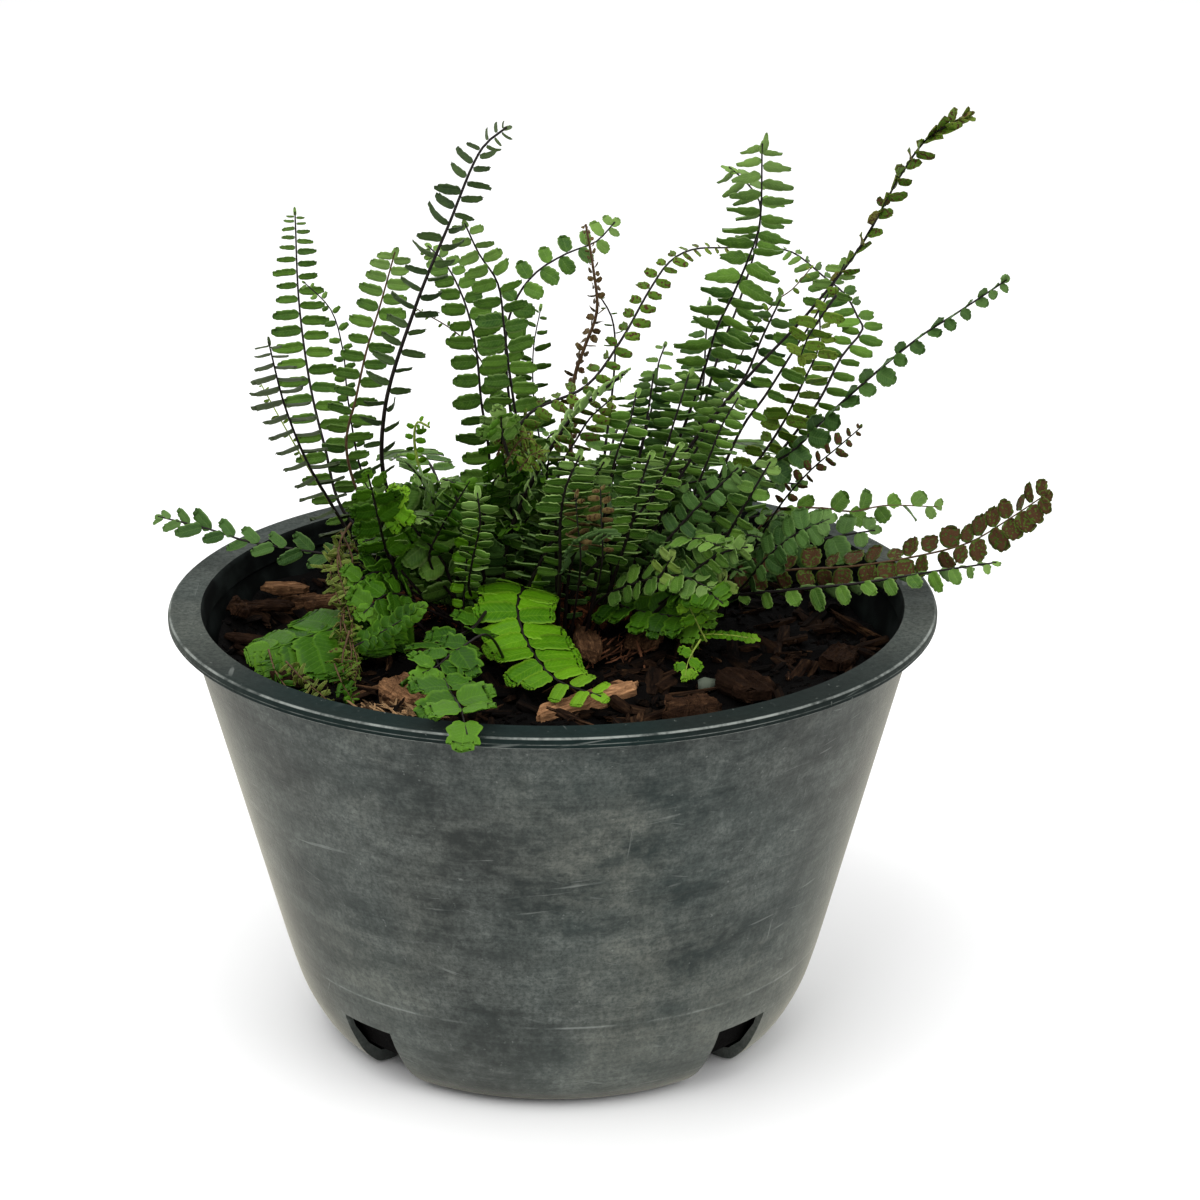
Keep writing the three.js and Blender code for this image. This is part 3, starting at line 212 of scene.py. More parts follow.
FRONDS = {
    "frond_left_tall": leafy(
        [(-38, 51), (-57, 55, 123), (-62, 60, 140), (-65.8, 66, 155), (-69, 76, 176), (-70, 84, 199.6)], 22,
        7.8, 3.2, twist=40, base_twist=-32, sweep=0, level=0.9, droop=0.05, taper=1.6, crowd=1.45, tip=0.28,
        face=(0.1, -0.9, 0.4)),
    "frond_left_edge": leafy(
        [(-45, 37), (-59, 36, 131), (-65, 30, 145), (-70, 22, 163), (-73, 10, 184)], 15, 8, 2.6,
        look="dusky", twist=58, twist_left=72, sweep=0, level=1.0, droop=0.16, crowd=1.25, loose=1.4,
        face=(0.2, -0.8, 0.6)),
    "frond_left_bare_tip": leafy(
        [(-46, 45), (-60, 46, 128), (-67, 43, 142), (-73, 42, 154), (-78, 42, 164)], 5, 1.8, 1, look="olive",
        rib="light", start=0.62, stem=0.4),
    "frond_left_thin": leafy(
        [(-33, 58), (-50, 57, 128), (-55, 53, 155), (-56, 52, 169), (-59, 51, 181), (-66, 50, 189)], 11, 3,
        2, leaf="small", start=0.4, end=3, stem=0.4),
    "frond_left_oval": leafy(
        [(-37, 42), (-51, 40, 130), (-55, 38, 147), (-52, 36, 161), (-49, 35, 174), (-45, 35, 187),
         (-41, 35, 201)], 17, 6.6, 3.6, rib="brown", start=0.2, base_twist=24, level=0.6, crowd=1.25,
        tip=0.62, face=(0.05, -0.92, 0.35)),
    "frond_dark_tall": leafy(
        [(-30, 34), (-44, 30, 137), (-44, 22, 161), (-35, 10, 193), (-26, 0, 217), (-17, -8, 239),
         (-11, -12, 245)], 22, 6, 2.8, look="dusky", start=0.26, fold=-10, twist=14, sweep=0, level=0.2,
        taper=2.4, crowd=1.3, tip=0.36, end=3, curl=0.8, loose=1.6, stem=0.75, face=(0.3, -0.7, 0.6)),
    "crozier_left": leafy(
        [(-27, 47), (-33, 45, 128), (-37, 44, 146), (-36, 43, 152), (-33, 42, 151)], 11, 2.5, 1.8,
        leaf="small", look="lime", rib="light", start=0.4, end=1.5, curl=0.9, loose=3, stem=0.8),
    "runner_thin": leafy(
        [(-17, 57), (-12, 56, 142), (-17, 54, 162), (-25, 51, 174), (-37, 50, 182)], 6, 1.6, 0.9,
        leaf="small", look="olive", rib="brown", start=0.7, stem=0.4),
    "frond_mid_oval_left": leafy(
        [(-18, 44), (-17, 41, 144), (-18.9, 39, 159), (-20, 40, 172), (-22.4, 43, 183), (-25.8, 47, 190.5),
         (-29, 51, 194.5), (-33, 54, 197.7)], 18, 7.4, 4.8, twist=40, base_twist=-32, level=0.6, droop=0.06,
        taper=1.5, crowd=1.35, tip=0.34, loose=1.8),
    "frond_mid_oval": leafy(
        [(-7, 38), (-8, 33, 146), (-10, 31, 160), (-11.2, 29, 170), (-12.4, 28, 181.2), (-14, 25, 195),
         (-18.7, 20, 204.3), (-22.3, 14, 214.2)], 17, 7.2, 4.5, base_twist=18, level=0.5, droop=0.06,
        crowd=1.05, tip=0.5, loose=1.9, face=(0, -0.92, 0.4)),
    "frond_arch_round": leafy(
        [(-4, 48), (-11, 46, 152), (-12, 45, 177), (-9, 46, 186), (-4, 48, 192), (4, 52, 196), (12, 57, 198),
         (17, 62, 202)], 12, 5.5, 4.4, leaf="round", start=0.34, sweep=20, tip=0.6, face=(0.1, -0.9, 0.45)),
    "frond_small_edge": leafy(
        [(2, 57), (-3, 59, 139), (-5, 62, 153), (-5, 66, 166), (-3, 70, 176)], 9, 4.6, 2.4, leaf="small",
        start=0.4, twist=50, end=3, stem=0.4),
    "stalk_dead": leafy(
        [(9, 51), (5, 53, 140), (6, 53, 161), (9, 51, 171), (12, 48, 181), (11, 44, 194), (9, 40, 207)], 30,
        2.5, 2.1, leaf="small", look="withered", rib="brown", start=0.3, fold=-35, taper=1.2, tip=0.4, end=2,
        curl=1.0, loose=6, stem=0.8),
    "rachis_bare": leafy(
        [(14, 45), (14, 47, 140), (16, 51, 156), (17, 55, 170), (16, 58, 177), (12, 62, 183)], 8, 4, 1.5,
        leaf="small", look="rimmed", start=0.45, twist=60, level=0.8, taper=1.1, tip=0.2, end=3),
    "frond_arch_right": leafy(
        [(-18, 29), (-12, 25, 148), (-6, 24, 160), (9, 26, 167), (18, 30, 178), (26, 35, 191), (31, 39, 197),
         (37, 44, 199), (48, 50, 198)], 26, 4.4, 2.6, leaf="small", look="tipped", start=0.2, fold=-20,
        level=0.6, loose=2, stem=0.6, face=(-0.2, -0.7, 0.7)),
    "frond_small_mid": leafy(
        [(21, 51), (24, 54, 139), (28, 60, 155), (29, 67, 161), (31, 72, 165)], 10, 5.4, 3.0, base_twist=30,
        level=0.8, loose=1.6),
    "frond_lance_tall": leafy(
        [(19, 41), (35, 37, 152), (40, 30, 170), (43, 24, 183), (47, 18, 194), (51, 13, 206), (53, 8, 215),
         (53, 0, 238)], 21, 9.8, 3.9, leaf="lance", fold=-10, sweep=0, level=0.5, droop=0.3, tip=0.6, end=2,
        loose=2.2, face=(0.05, -0.85, 0.55)),
    "frond_lance_behind": leafy(
        [(29, 44), (41, 43, 158), (45, 46, 171), (50, 50, 183), (55, 54, 200), (55.4, 56, 209),
         (51.5, 59, 214), (47.5, 62, 217)], 17, 7.6, 3.2, leaf="lance", twist=8, twist_left=58, sweep=0,
        level=0.7, droop=0.3, tip=0.8, loose=2, face=(0, -0.6, 0.8)),
    "frond_lance_short": leafy(
        [(30, 53), (39, 56, 149), (41, 62, 156), (42, 70, 168), (43, 75, 176)], 14, 7.6, 3, leaf="lance",
        look="dark", fold=-12, twist=16, level=0.8, droop=0.2, loose=1.8),
    "frond_arch_back": leafy(
        [(37, 46), (54, 41, 134), (64, 38, 149), (71, 38, 159), (77, 42, 170), (83, 48, 176), (82, 52, 178),
         (79, 56, 183), (73, 62, 187), (65, 68, 192), (58, 70, 193)], 27, 6.4, 2.8, leaf="small", fold=-15,
        twist=36, level=0.7, droop=0.12, loose=1.6, face=(0.2, -0.5, 0.85)),
    "rachis_bare_right": leafy(
        [(34, 57), (44, 50, 150), (54, 48, 176), (60, 48, 184), (64, 48, 187), (69, 48, 193)], 7, 2.2, 1.4,
        leaf="small", look="olive", rib="brown", start=0.6, end=2, stem=0.4),
    "frond_longest": leafy(
        [(4, 28), (17, 24, 124), (27, 22, 138), (38, 19, 155), (51, 14, 173), (65, 7, 191), (78, -3, 212),
         (87, -13, 233), (93, -20, 244), (102, -25, 251)], 14, 6.2, 3.1, leaf="small", look="tipped",
        start=0.62, fold_left=100, twist=8, sweep=62, crowd=1.5, tip=0.55, loose=2.8, stem=0.6,
        face=(-0.35, -0.75, 0.55)),
    "frond_right_round": leafy(
        [(27, 31), (33, 27, 131), (47, 23, 142), (62, 20, 150), (71, 18, 160), (81, 17, 170), (96, 17, 183),
         (104, 18, 188), (118, 20, 197)], 20, 6.4, 6.2, leaf="round", look="dark", fold=-4, fold_left=115,
        sweep=36, taper=0.8, crowd=1.25, loose=2.2, stem=0.6, face=(-0.3, -0.7, 0.65)),
    "frond_small_dark": leafy(
        [(46, 30), (59, 13, 137), (67, 3, 151), (73, -4, 159), (79, -8, 166)], 9, 3.2, 2.3, leaf="small",
        look="sori", start=0.5, sweep=30, end=3, loose=2, stem=0.4),
    "frond_right_level": leafy(
        [(47, 45), (60, 43, 126), (73, 44, 127), (81, 47, 125), (90, 52, 125), (106, 60, 122)], 7, 5.6, 5,
        leaf="round", rib="brown", start=0.22, fold_left=30, sweep=48, droop=0.1, tip=0.5, loose=3.6,
        stem=0.42, face=(0, -0.78, 0.62)),
    "frond_right_dark_round": leafy(
        [(42, 35), (50, 31, 118), (65, 30, 121), (76, 29, 124), (86, 28, 126)], 6, 8.4, 7.8, leaf="round",
        look="dark", start=0.1, loose=1.6, stem=0.6, face=(0, -0.7, 0.7)),
    "frond_brown_sori": leafy(
        [(36, 19), (46, 19, 116), (62, 16, 119), (78, 10, 122), (94, 3, 127), (108, -3, 133), (116, -8, 140),
         (126, -15, 150)], 18, 5.8, 5.5, leaf="round", look="sori", rib="brown", start=0.18, fold=-10,
        tip=0.7, loose=2.4, stem=0.45, face=(0.1, -0.75, 0.65)),
    "frond_right_low": leafy(
        [(38, 10), (46, 7, 114), (62, 0, 119), (80, -6, 123), (97, -12, 128), (113, -22, 134)], 12, 5.6, 4.2,
        leaf="round", start=0.2, fold=-8, fold_left=-80, sweep=30, loose=2.2, face=(0.1, -0.6, 0.8)),
    "frond_left_level": leafy(
        [(-39, 28), (-50, 21, 121), (-60, 19, 123), (-72, 19, 125), (-81, 21, 126), (-91, 25, 128),
         (-105, 30, 130)], 9, 6.6, 3.4, look="dark", start=0.26, sweep=60, tip=0.5, face=(0, -0.8, 0.6)),
    "frond_withered": leafy(
        [(-43, 22), (-50, 19, 122), (-56, 10, 128), (-54, 0, 120), (-55, -10, 111), (-51, -22, 105)], 34,
        2.8, 1.15, leaf="small", look="curled", rib="brown", start=0.1, fold=-20, twist=40, end=3, curl=1.4,
        loose=7, uneven=4, stem=0.5),
    "frond_left_fan": leafy(
        [(-33, 13), (-42, 6, 111), (-51, -2, 111.5), (-59, -8, 111), (-68, -14, 109.5), (-76, -17, 108.5)],
        9, 11.6, 12, leaf="toothed", look="fresh", start=0.2, fold=-30, fold_left=-4, sweep=14, tip=0.6,
        end=6, loose=0.4, uneven=1.2, stem=0.6, face=(-0.1, -0.62, 0.78)),
    "frond_front_lime": leafy(
        [(-6, 19), (-7, 14, 115), (-9, 2, 116), (-9, -6, 114), (-6, -18, 110), (1, -34, 107),
         (12, -43, 106)], 12, 10.4, 7.4, leaf="toothed", look="lime", start=0.12, sweep=8, taper=1.4,
        crowd=0.95, tip=0.5, end=5, stem=0.6, face=(0, -0.45, 0.9)),
    "frond_front_rim": leafy(
        [(-17, 11), (-16, 5, 113), (-21, -18, 115), (-27, -30, 116), (-29, -45, 117), (-27, -62, 118),
         (-24, -80, 120), (-22, -91, 120.5), (-20.5, -100, 118)], 8, 9.4, 9.4, leaf="lobed", look="fresh",
        start=0.24, sweep=14, tip=0.95, end=26, loose=2.6, face=(0, -0.5, 0.85)),
    "frond_front_fan": leafy(
        [(15, 24), (15, 14, 111), (22, 4, 112), (31, -3, 113), (40, -8, 113)], 7, 8.6, 7.6, leaf="lobed",
        look="fresh", start=0.22, tip=0.8, end=6, loose=1.8, face=(0, -0.4, 0.9)),
    "plantlet_right": leafy(
        [(36, -9), (36, -8, 105), (37, -8, 109), (44, -9, 110), (53, -10, 109)], 11, 2, 2.2, leaf="small",
        look="lime", rib="light", start=0.3, tip=0.8, end=3, stem=0.4, face=(0, -0.3, 0.95)),
    "frond_centre": leafy(
        [(-14, 20), (-12, 18, 126), (-4, 8, 149), (2, 2, 161), (6, -2, 168), (19, -15, 183)], 20, 6.8, 3.8,
        look="rimmed", start=0.1, twist=32, level=0.85, droop=-0.04, loose=1.7, stem=0.85,
        face=(0, -0.45, 0.9)),
    "frond_left_round": leafy(
        [(-25, 21), (-29, 15, 122), (-36, 14, 131), (-41, 13, 137), (-49, 12, 140)], 6, 8.4, 7.4,
        leaf="round", start=0.18, loose=1.5, stem=0.6, face=(0, -0.6, 0.8)),
    "frond_young": leafy(
        [(-24, 9), (-23, 8, 120), (-22, 7, 129), (-20, 5, 137)], 7, 3.6, 3, leaf="round", look="lime",
        start=0.25, end=3, stem=0.35),
    "frond_left_lime": leafy(
        [(-35, 20), (-43, 6, 127), (-45, -4, 141), (-47, -12, 155)], 6, 8, 7.6, leaf="lobed", look="fresh",
        start=0.36, loose=1.6, stem=0.6, face=(0, -0.8, 0.6)),
    "frond_olive_spores": leafy(
        [(32, 39), (41, 36, 126), (51, 33, 139), (60, 31, 153), (66, 28, 167), (70, 28, 177), (70, 28, 188)],
        19, 6.2, 3.4, look="olive", fold=-18, twist=24, sweep=0, level=0.8, droop=0.1, loose=2.6,
        face=(0.1, -0.8, 0.6)),
    "frond_back_left": leafy(
        [(-25, 61), (-33, 76, 128), (-40, 96, 127), (-46, 114, 119)], 11, 7.6, 3.8, face=(0, 0.2, 0.98)),
    "frond_back_mid": leafy(
        [(-7, 64), (-9, 82, 133), (-11, 104, 133), (-13, 122, 124)], 12, 7.8, 3.8, look="dark",
        face=(0, 0.2, 0.98)),
    "frond_back_mid_right": leafy(
        [(13, 64), (17, 84, 134), (22, 106, 133), (25, 122, 124)], 12, 7.8, 3.8, face=(0, 0.2, 0.98)),
    "frond_back_right": leafy(
        [(31, 62), (42, 78, 130), (53, 97, 129), (61, 113, 120)], 11, 7.6, 3.8, face=(0, 0.2, 0.98)),
    "frond_mass_centre": leafy(
        [(3, 15), (5, 7, 125), (10, -8, 137), (15, -22, 141)], 13, 6, 3.4, look="dark", start=0.1, twist=24,
        level=0.8, loose=1.7, face=(0, -0.5, 0.86)),
    "frond_mass_right": leafy(
        [(21, 16), (27, 10, 124), (34, -2, 134), (45, -16, 136)], 11, 6.6, 4.4, start=0.1, level=0.7,
        loose=1.8, face=(0, -0.4, 0.9)),
    "frond_mass_left": leafy(
        [(-24, 30), (-29, 24, 127), (-34, 13, 145), (-38, 2, 154)], 11, 7, 5, start=0.1, level=0.6,
        face=(0, -0.6, 0.8)),
    "frond_mass_bright": leafy(
        [(-8, 27), (-11, 21, 135), (-13, 4, 157), (-13, -8, 169)], 12, 6.6, 5.6, leaf="lobed", look="fresh",
        start=0.12, face=(0, -0.7, 0.7)),
    "frond_mass_far_right": leafy(
        [(33, 27), (41, 25, 122), (51, 20, 132), (61, 17, 134)], 9, 6.2, 4.6, look="dark", start=0.1,
        level=0.7, loose=1.8, face=(0, -0.5, 0.86)),
}

# Short young fronds that fill the crown: how many, the middle of their roots, how far out the
# roots and tips lie, the way they lean, all in millimetres, and the leaf looks they take in turn.
UNDERGROWTH = {
    "undergrowth_left": dict(
        count=17, middle=(-22, 32), spread=(16, 12), lean=(-8, -12), rise=(16, 36), seed=3,
        leaves=("oval", "round", "lobed"), looks=("green", "fresh", "dark"), twist=(-20, 25)),
    "undergrowth_middle": dict(
        count=15, middle=(0, 36), spread=(20, 12), lean=(13, -10), rise=(20, 44), seed=8,
        leaves=("oval", "small"), looks=("dark", "rimmed", "dark"), twist=(-10, 30)),
    "undergrowth_right": dict(
        count=13, middle=(26, 34), spread=(18, 12), lean=(14, -10), rise=(14, 38), seed=14,
        leaves=("oval", "round", "small"), looks=("dark", "green", "dark"), twist=(-10, 30)),
}

# Strands that no solid stands for, each a path in the air, in millimetres, with shared options.
STRANDS = {
    "sprays_edge": leafy(
        [[(5.7, 12, 115.1), (15.4, 4, 129.5), (25.2, -2, 145.1), (32.3, -6, 160.4)],
         [(-6.6, 10, 115.2), (-0.7, 4, 130.3), (7.1, 0, 143.9), (13.3, -3, 155.2)],
         [(1.9, 0, 127.5), (2, -2, 139.1), (3.6, -4, 149.3), (7.2, -5, 157.7)],
         [(17.5, 4, 126.2), (20.6, 0, 138.5), (22.6, -3, 149), (25.1, -5, 157.7)]], 11, 6.2, 3.8,
        looks=("rimmed", "green", "rimmed"), start=0.04, twist=30, level=0.9, droop=0.03, tip=0.5, loose=2,
        stem=0.66, rooted=True),
    "sprays_loose": leafy(
        [[(36, 8, 113.7), (44, 0, 131.6), (50.3, -6, 145.9), (55.8, -8, 156.8)],
         [(22.8, 8, 119.2), (29.9, 0, 133), (39.3, -4, 145.2), (47.7, -6, 154.5)],
         [(30.2, -4, 118), (37, -9, 128), (44, -13, 134), (50, -15, 136)]], 10, 4.9, 3.6,
        looks=("green", "dark", "green"), start=0.06, twist=6, sweep=20, level=0.3, droop=0.05, tip=0.6,
        loose=3.4, stem=0.66, rooted=True),
    "sprays_top": leafy(
        [[(38.1, 0, 149.4), (41.1, -2, 158.1), (43.6, -3, 165.1), (47.6, -3, 172.3)],
         [(14.9, 0, 149.4), (16.9, -2, 158.1), (20, -3, 166.4), (21.5, -3, 173.9)],
         [(2, 0, 152.1), (6.1, -3, 161.1), (9.7, -3, 167), (15.4, -3, 172.3)],
         [(27.7, 10, 147), (30.4, 9, 158), (33.2, 8, 168), (35.5, 8, 176)]], 8, 5, 2.8, leaf="small",
        looks=("green", "rimmed", "tipped"), start=0.03, twist=28, level=0.85, droop=0.08, tip=0.5,
        loose=2.6, rooted=True),
    "front_leaves": leafy(
        [[(-17.7, -46, 123.7), (-22.1, -50, 122.3), (-25.9, -54, 121.1), (-28.8, -58, 119.7),
          (-32.1, -62, 119.6)]], 3, 8.4, 7, leaf="lobed", look="fresh", start=0.1, tip=0.9, loose=2,
        stem=0.5, face=(0, -0.5, 0.85), rooted=True),
    "leaves_left": leafy(
        [[(-37, 14, 114), (-42, 9, 120), (-47, 4, 123), (-52, -1, 121)],
         [(-35, 9, 112), (-39, 3, 117), (-44, -3, 119), (-49, -8, 116)]], 4, 6.6, 6.2, leaf="lobed",
        look="fresh", start=0.12, tip=0.8, loose=1.8, stem=0.5, face=(0.1, -0.75, 0.65), rooted=True),
    "sprays_open": leafy(
        [[(-21.8, 8, 115.9), (-20.8, 2, 127.4), (-18.7, -2, 138.6), (-19.4, -2, 146.7)],
         [(-32.4, 12, 123.4), (-29.5, 8, 133.1), (-25.4, 4, 141.3), (-21.3, 2, 148.7)],
         [(-41.5, 10, 124.1), (-42.9, 4, 134.4), (-45.2, 2, 141.9), (-48.5, 2, 148.2)]], 11, 4.6, 2.8,
        leaf="small", looks=("rimmed", "fresh"), start=0.05, twist=26, level=0.6, tip=0.7, loose=3.2,
        stem=0.5, rooted=True),
    "sprays_arching": leafy(
        [[(12.3, 10, 113), (22.7, 0, 121.5), (32.4, -8, 125.9), (41.1, -14, 124.2)],
         [(49, 6, 117.2), (55.2, 0, 127.5), (62.7, -4, 135.7), (71.5, -6, 140.5)],
         [(29.3, 0, 116.5), (34.3, -8, 122.1), (39.3, -14, 123.6), (43.6, -18, 121.8)]], 8, 5.6, 4.6,
        leaf="round", looks=("green", "dark", "fresh"), start=0.1, tip=0.6, loose=1.6, stem=0.5,
        face=(0, -0.65, 0.75), rooted=True),
    "crown_leaves": leafy(
        [[(-11.4, 0, 156.1), (-12.8, -3, 162.8), (-13.2, -5, 168.1)],
         [(-45, 4, 134.4), (-42.6, 0, 140.7), (-39.3, -2, 145.1)]], 2, 6, 4.6, leaf="lobed",
        looks=("green", "lime"), start=0.3, tip=1.0, loose=1.6, stem=0.5, face=(0, -0.8, 0.6)),
    "withered_curls": leafy(
        [[(-53, 16, 132.6), (-55.7, 12, 129), (-56.1, 4, 124.5), (-53.3, -6, 119.2)],
         [(-55.8, 18, 129.7), (-52.5, 10, 124.7), (-54, -2, 120), (-52.1, -10, 114)],
         [(-52.8, 0, 120.6), (-54.3, -8, 114.4), (-51.9, -16, 108.5), (-53.2, -22, 103)],
         [(-51.2, -2, 118.3), (-52.1, -12, 110.9), (-50.2, -20, 106), (-51.2, -26, 103)],
         [(-57.4, 14, 126.9), (-58, 4, 122), (-54.9, -6, 117.5)],
         [(-52.6, -12, 112.5), (-54.3, -20, 106.7), (-51.9, -28, 103)]], 15, 2.8, 1.1, leaf="small",
        looks=("curled", "tipped"), rib="brown", start=0.02, sweep=20, tip=0.6, curl=1.8, loose=7, uneven=4,
        stem=0.35),
    "fan_curls": leafy(
        [[(-73, -20, 110.4), (-70.6, -30, 108), (-66.6, -38, 106), (-62.4, -43, 105)],
         [(-68.3, -24, 108.6), (-63, -33, 106.6), (-58.4, -39, 105), (-55.6, -44, 104)],
         [(-55.9, -26, 108.6), (-53.4, -34, 106), (-50.2, -41, 104)]], 14, 2.8, 1.3, leaf="small",
        looks=("fresh", "curled", "fresh"), rib="brown", start=0.02, tip=0.6, curl=1.6, loose=7, uneven=3,
        stem=0.3),
    "lance_left": leafy(
        [[(-51.7, -14, 108.8), (-45.4, -15, 112.5), (-39.1, -16, 116.7), (-32.9, -17, 121.4)]], 9, 3.4, 5,
        leaf="small", look="fresh", start=0.04, sweep=30, tip=0.5, loose=0.8, stem=0.35,
        face=(0, -0.7, 0.7)),
    "crown_curls": leafy(
        [[(-12, 4, 153), (-9.6, 2, 157.9), (-7.3, 0, 160.7), (-4.7, -1, 160.5)],
         [(-14.3, 4, 154.9), (-12.7, 2, 159.5), (-13.9, 1, 162.5), (-16, 0, 162.3)],
         [(-8.4, 2, 151.4), (-5.5, 0, 156.1), (-2.4, -1, 157.8)]], 7, 3, 1.8, leaf="small", look="tipped",
        rib="brown", start=0.1, tip=0.6, curl=1.2, loose=6, stem=0.35),
    "dry_middle": leafy(
        [[(7.2, -7, 131), (6.4, -7, 140), (5.9, -6, 147.5)],
         [(12.8, -8, 131), (12.5, -8, 141), (12.3, -7, 150)]], 7, 3.6, 1.8, leaf="small", look="withered",
        start=0.05, twist=30, level=0.9, tip=0.6, loose=5, stem=0.4, rooted=True),
    "brown_pair": leafy(
        [[(78.5, -3.6, 213), (80.3, -5.6, 217.3), (82.2, -7.7, 221.5), (83.8, -9.5, 225.5)]], 1, 4, 3.8,
        leaf="round", look="sori", start=0.4, sweep=30, tip=0.6, loose=2, stem=0.3),
    "plantlet_lobed": leafy(
        [[(39.8, -10, 108.5), (37.9, -10, 112.3), (36.1, -10, 116.2), (34.5, -9, 119.1)],
         [(38.1, -14, 110.5), (35.5, -18, 107.8), (34.4, -20, 105.5), (33.9, -22, 103.5)]], 2, 3.6, 3.2,
        leaf="lobed", look="lime", rib="light", start=0.3, tip=1.0, loose=1.5, stem=0.3),
    "pale_leaves": leafy(
        [[(26.4, -6, 121.8), (28.6, -7, 126.9), (31.2, -8, 131.6)],
         [(38.4, -8, 119.9), (42.3, -9, 122.4), (44.5, -9, 126)]], 2, 4.4, 3, look="pale", start=0.1,
        tip=0.9, loose=2.6, stem=0.4, face=(0, -0.8, 0.6)),
    "longest_lower": leafy(
        [[(49.6, 22, 156.1), (55.4, 20, 165.4), (62.9, 16, 179.6), (69, 12, 191.5), (74.9, 8, 204.5)]], 8,
        6.2, 3.6, start=0.03, twist=12, sweep=0, level=0.75, droop=0.1, tip=0.6, loose=2.4, rooted=True),
    "sprays_high": leafy(
        [[(36.2, 30, 147.5), (41.9, 30, 156.9), (50, 30, 166.6), (55.6, 30, 179.7), (59.9, 30, 189.2)],
         [(30.2, 20, 137.4), (36, 20, 147.9), (41.6, 20, 158.1), (47.1, 20, 167.1)],
         [(22.6, 40, 140), (25, 40, 152), (27.1, 42, 165.5)]], 10, 6.6, 2.8, leaf="lance",
        looks=("dark", "green"), start=0.03, twist=20, sweep=0, level=0.8, droop=0.12, tip=0.6, loose=2.2,
        stem=0.66, rooted=True),
    "yellow_leaves": leafy(
        [[(72.2, -2, 199), (68.8, 0, 193), (65.6, 4, 186.2), (63.8, 8, 179.2)]], 4, 5, 3, look="olive",
        start=0.05, sweep=0, level=0.7, tip=0.8, loose=2.6, stem=0.4, face=(-0.1, -0.85, 0.5)),
}

# How far a stem rises straight from its root and reaches under it, and the step between the points
# of a path, in millimetres.
STEM_RISE = 4
STEM_FOOT = 3
PATH_STEP = 3

# How far before the tip the two rows stop, as a share of the option end, and how far before it the
# last leaflet stands, as a share of its length.
END_SHARE = 0.3
LAST_SHARE = 0.5

# The node tree's sockets for a frond's options: lengths in millimetres, angles in degrees and plain
# numbers.
LENGTH_SOCKETS = dict(long="Long", wide="Wide", uneven="Uneven", stem="Stem Radius")
ANGLE_SOCKETS = dict(
    fold="Fold", fold_left="Fold Left", twist="Twist", twist_left="Twist Left", base_twist="Base Twist",
    sweep="Sweep",
)
PLAIN_SOCKETS = dict(
    pairs="Pairs", start="Start", level="Level", droop="Droop", taper="Taper", crowd="Crowding",
    curl="Curl", tip="Tip Share", loose="Loose",
)


# Mesh helpers

def placed(name, data):
    """A new object of the data, in the scene."""
    made = bpy.data.objects.new(name, data)
    bpy.context.scene.collection.objects.link(made)
    return made


def mesh_object(name, points, faces, smooth=True):
    """A new object in the scene with a mesh of the points, in metres, and the faces."""
    mesh = bpy.data.meshes.new(name)
    mesh.from_pydata([tuple(p) for p in points], [], faces)
    mesh.validate()
    if smooth:
        mesh.shade_smooth()
    return placed(name, mesh)


def between(start, stop, share):
    """A point or colour on the way from one to another."""
    return tuple(a + (b - a) * share for a, b in zip(start, stop))


def tinted(color, by):
    """A colour made lighter or darker."""
    return tuple(by * c for c in color)


def around(sides):
    """Evenly spaced directions round Z."""
    angles = [2 * math.pi * i / sides for i in range(sides)]
    return [(math.cos(angle), math.sin(angle)) for angle in angles]


def ring_faces(rings, sides):
    """Faces round a first point, rings of points and a last point."""
    last = 1 + rings * sides

    def at(ring, i):
        return 1 + ring * sides + i % sides

    faces = []
    for i in range(sides):
        faces.append((0, at(0, i + 1), at(0, i)))
        for ring in range(rings - 1):
            faces.append((at(ring, i), at(ring, i + 1), at(ring + 1, i + 1), at(ring + 1, i)))
        faces.append((last, at(rings - 1, i), at(rings - 1, i + 1)))
    return faces


def turned(profile, sides):
    """Points and faces of a shape turned about Z. The profile runs from the axis back to the axis."""
    points = [Vector((0, 0, profile[0][1]))]
    for radius, height in profile[1:-1]:
        points += [Vector((radius * x, radius * y, height)) for x, y in around(sides)]
    points.append(Vector((0, 0, profile[-1][1])))
    return points, ring_faces(len(profile) - 2, sides)


def refined(points, steps):
    """More points along a run of points, on a smooth curve through them."""
    ends = [points[0], *points, points[-1]]
    result = []
    for a, b, c, d in zip(ends, ends[1:], ends[2:], ends[3:]):
        for i in range(steps):
            t = i / steps
            result.append(tuple(
                0.5 * (2 * q + (r - p) * t + (2 * p - 5 * q + 4 * r - s) * t * t
                       + (3 * q - p - 3 * r + s) * t ** 3)
                for p, q, r, s in zip(a, b, c, d)
            ))
    return result + [points[-1]]


def applied(carrier, name):
    """The evaluated carrier as a new plain mesh object. The carrier goes."""
    bpy.context.view_layer.update()
    ready = carrier.evaluated_get(bpy.context.evaluated_depsgraph_get())
    mesh = bpy.data.meshes.new_from_object(ready)
    bpy.data.objects.remove(carrier)
    mesh.name = name
    return placed(name, mesh)


def grown(carrier, tree, values, name):
    """The carrier through a node tree, as a plain mesh object. Inputs are set by identifier."""
    modifier = carrier.modifiers.new("Grown", "NODES")
    modifier.node_group = tree
    for item in tree.interface.items_tree:
        if item.item_type == "SOCKET" and item.in_out == "INPUT" and item.name in values:
            modifier[item.identifier] = values[item.name]
    return applied(carrier, name)


def finished(made, slot, *nodes):
    """Rides the piece on the pot's body, in place of the CAD nodes that it stands for."""
    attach(made, "root")
    if nodes:
        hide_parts(*nodes)


def record_slot(node):
    """The material slot that the record gives to a CAD node."""
    for row in frame["record"]["subparts"]:
        if row["node"] == node:
            return row["material_slot"]
    raise RuntimeError("the record has no node " + node)


# Node trees

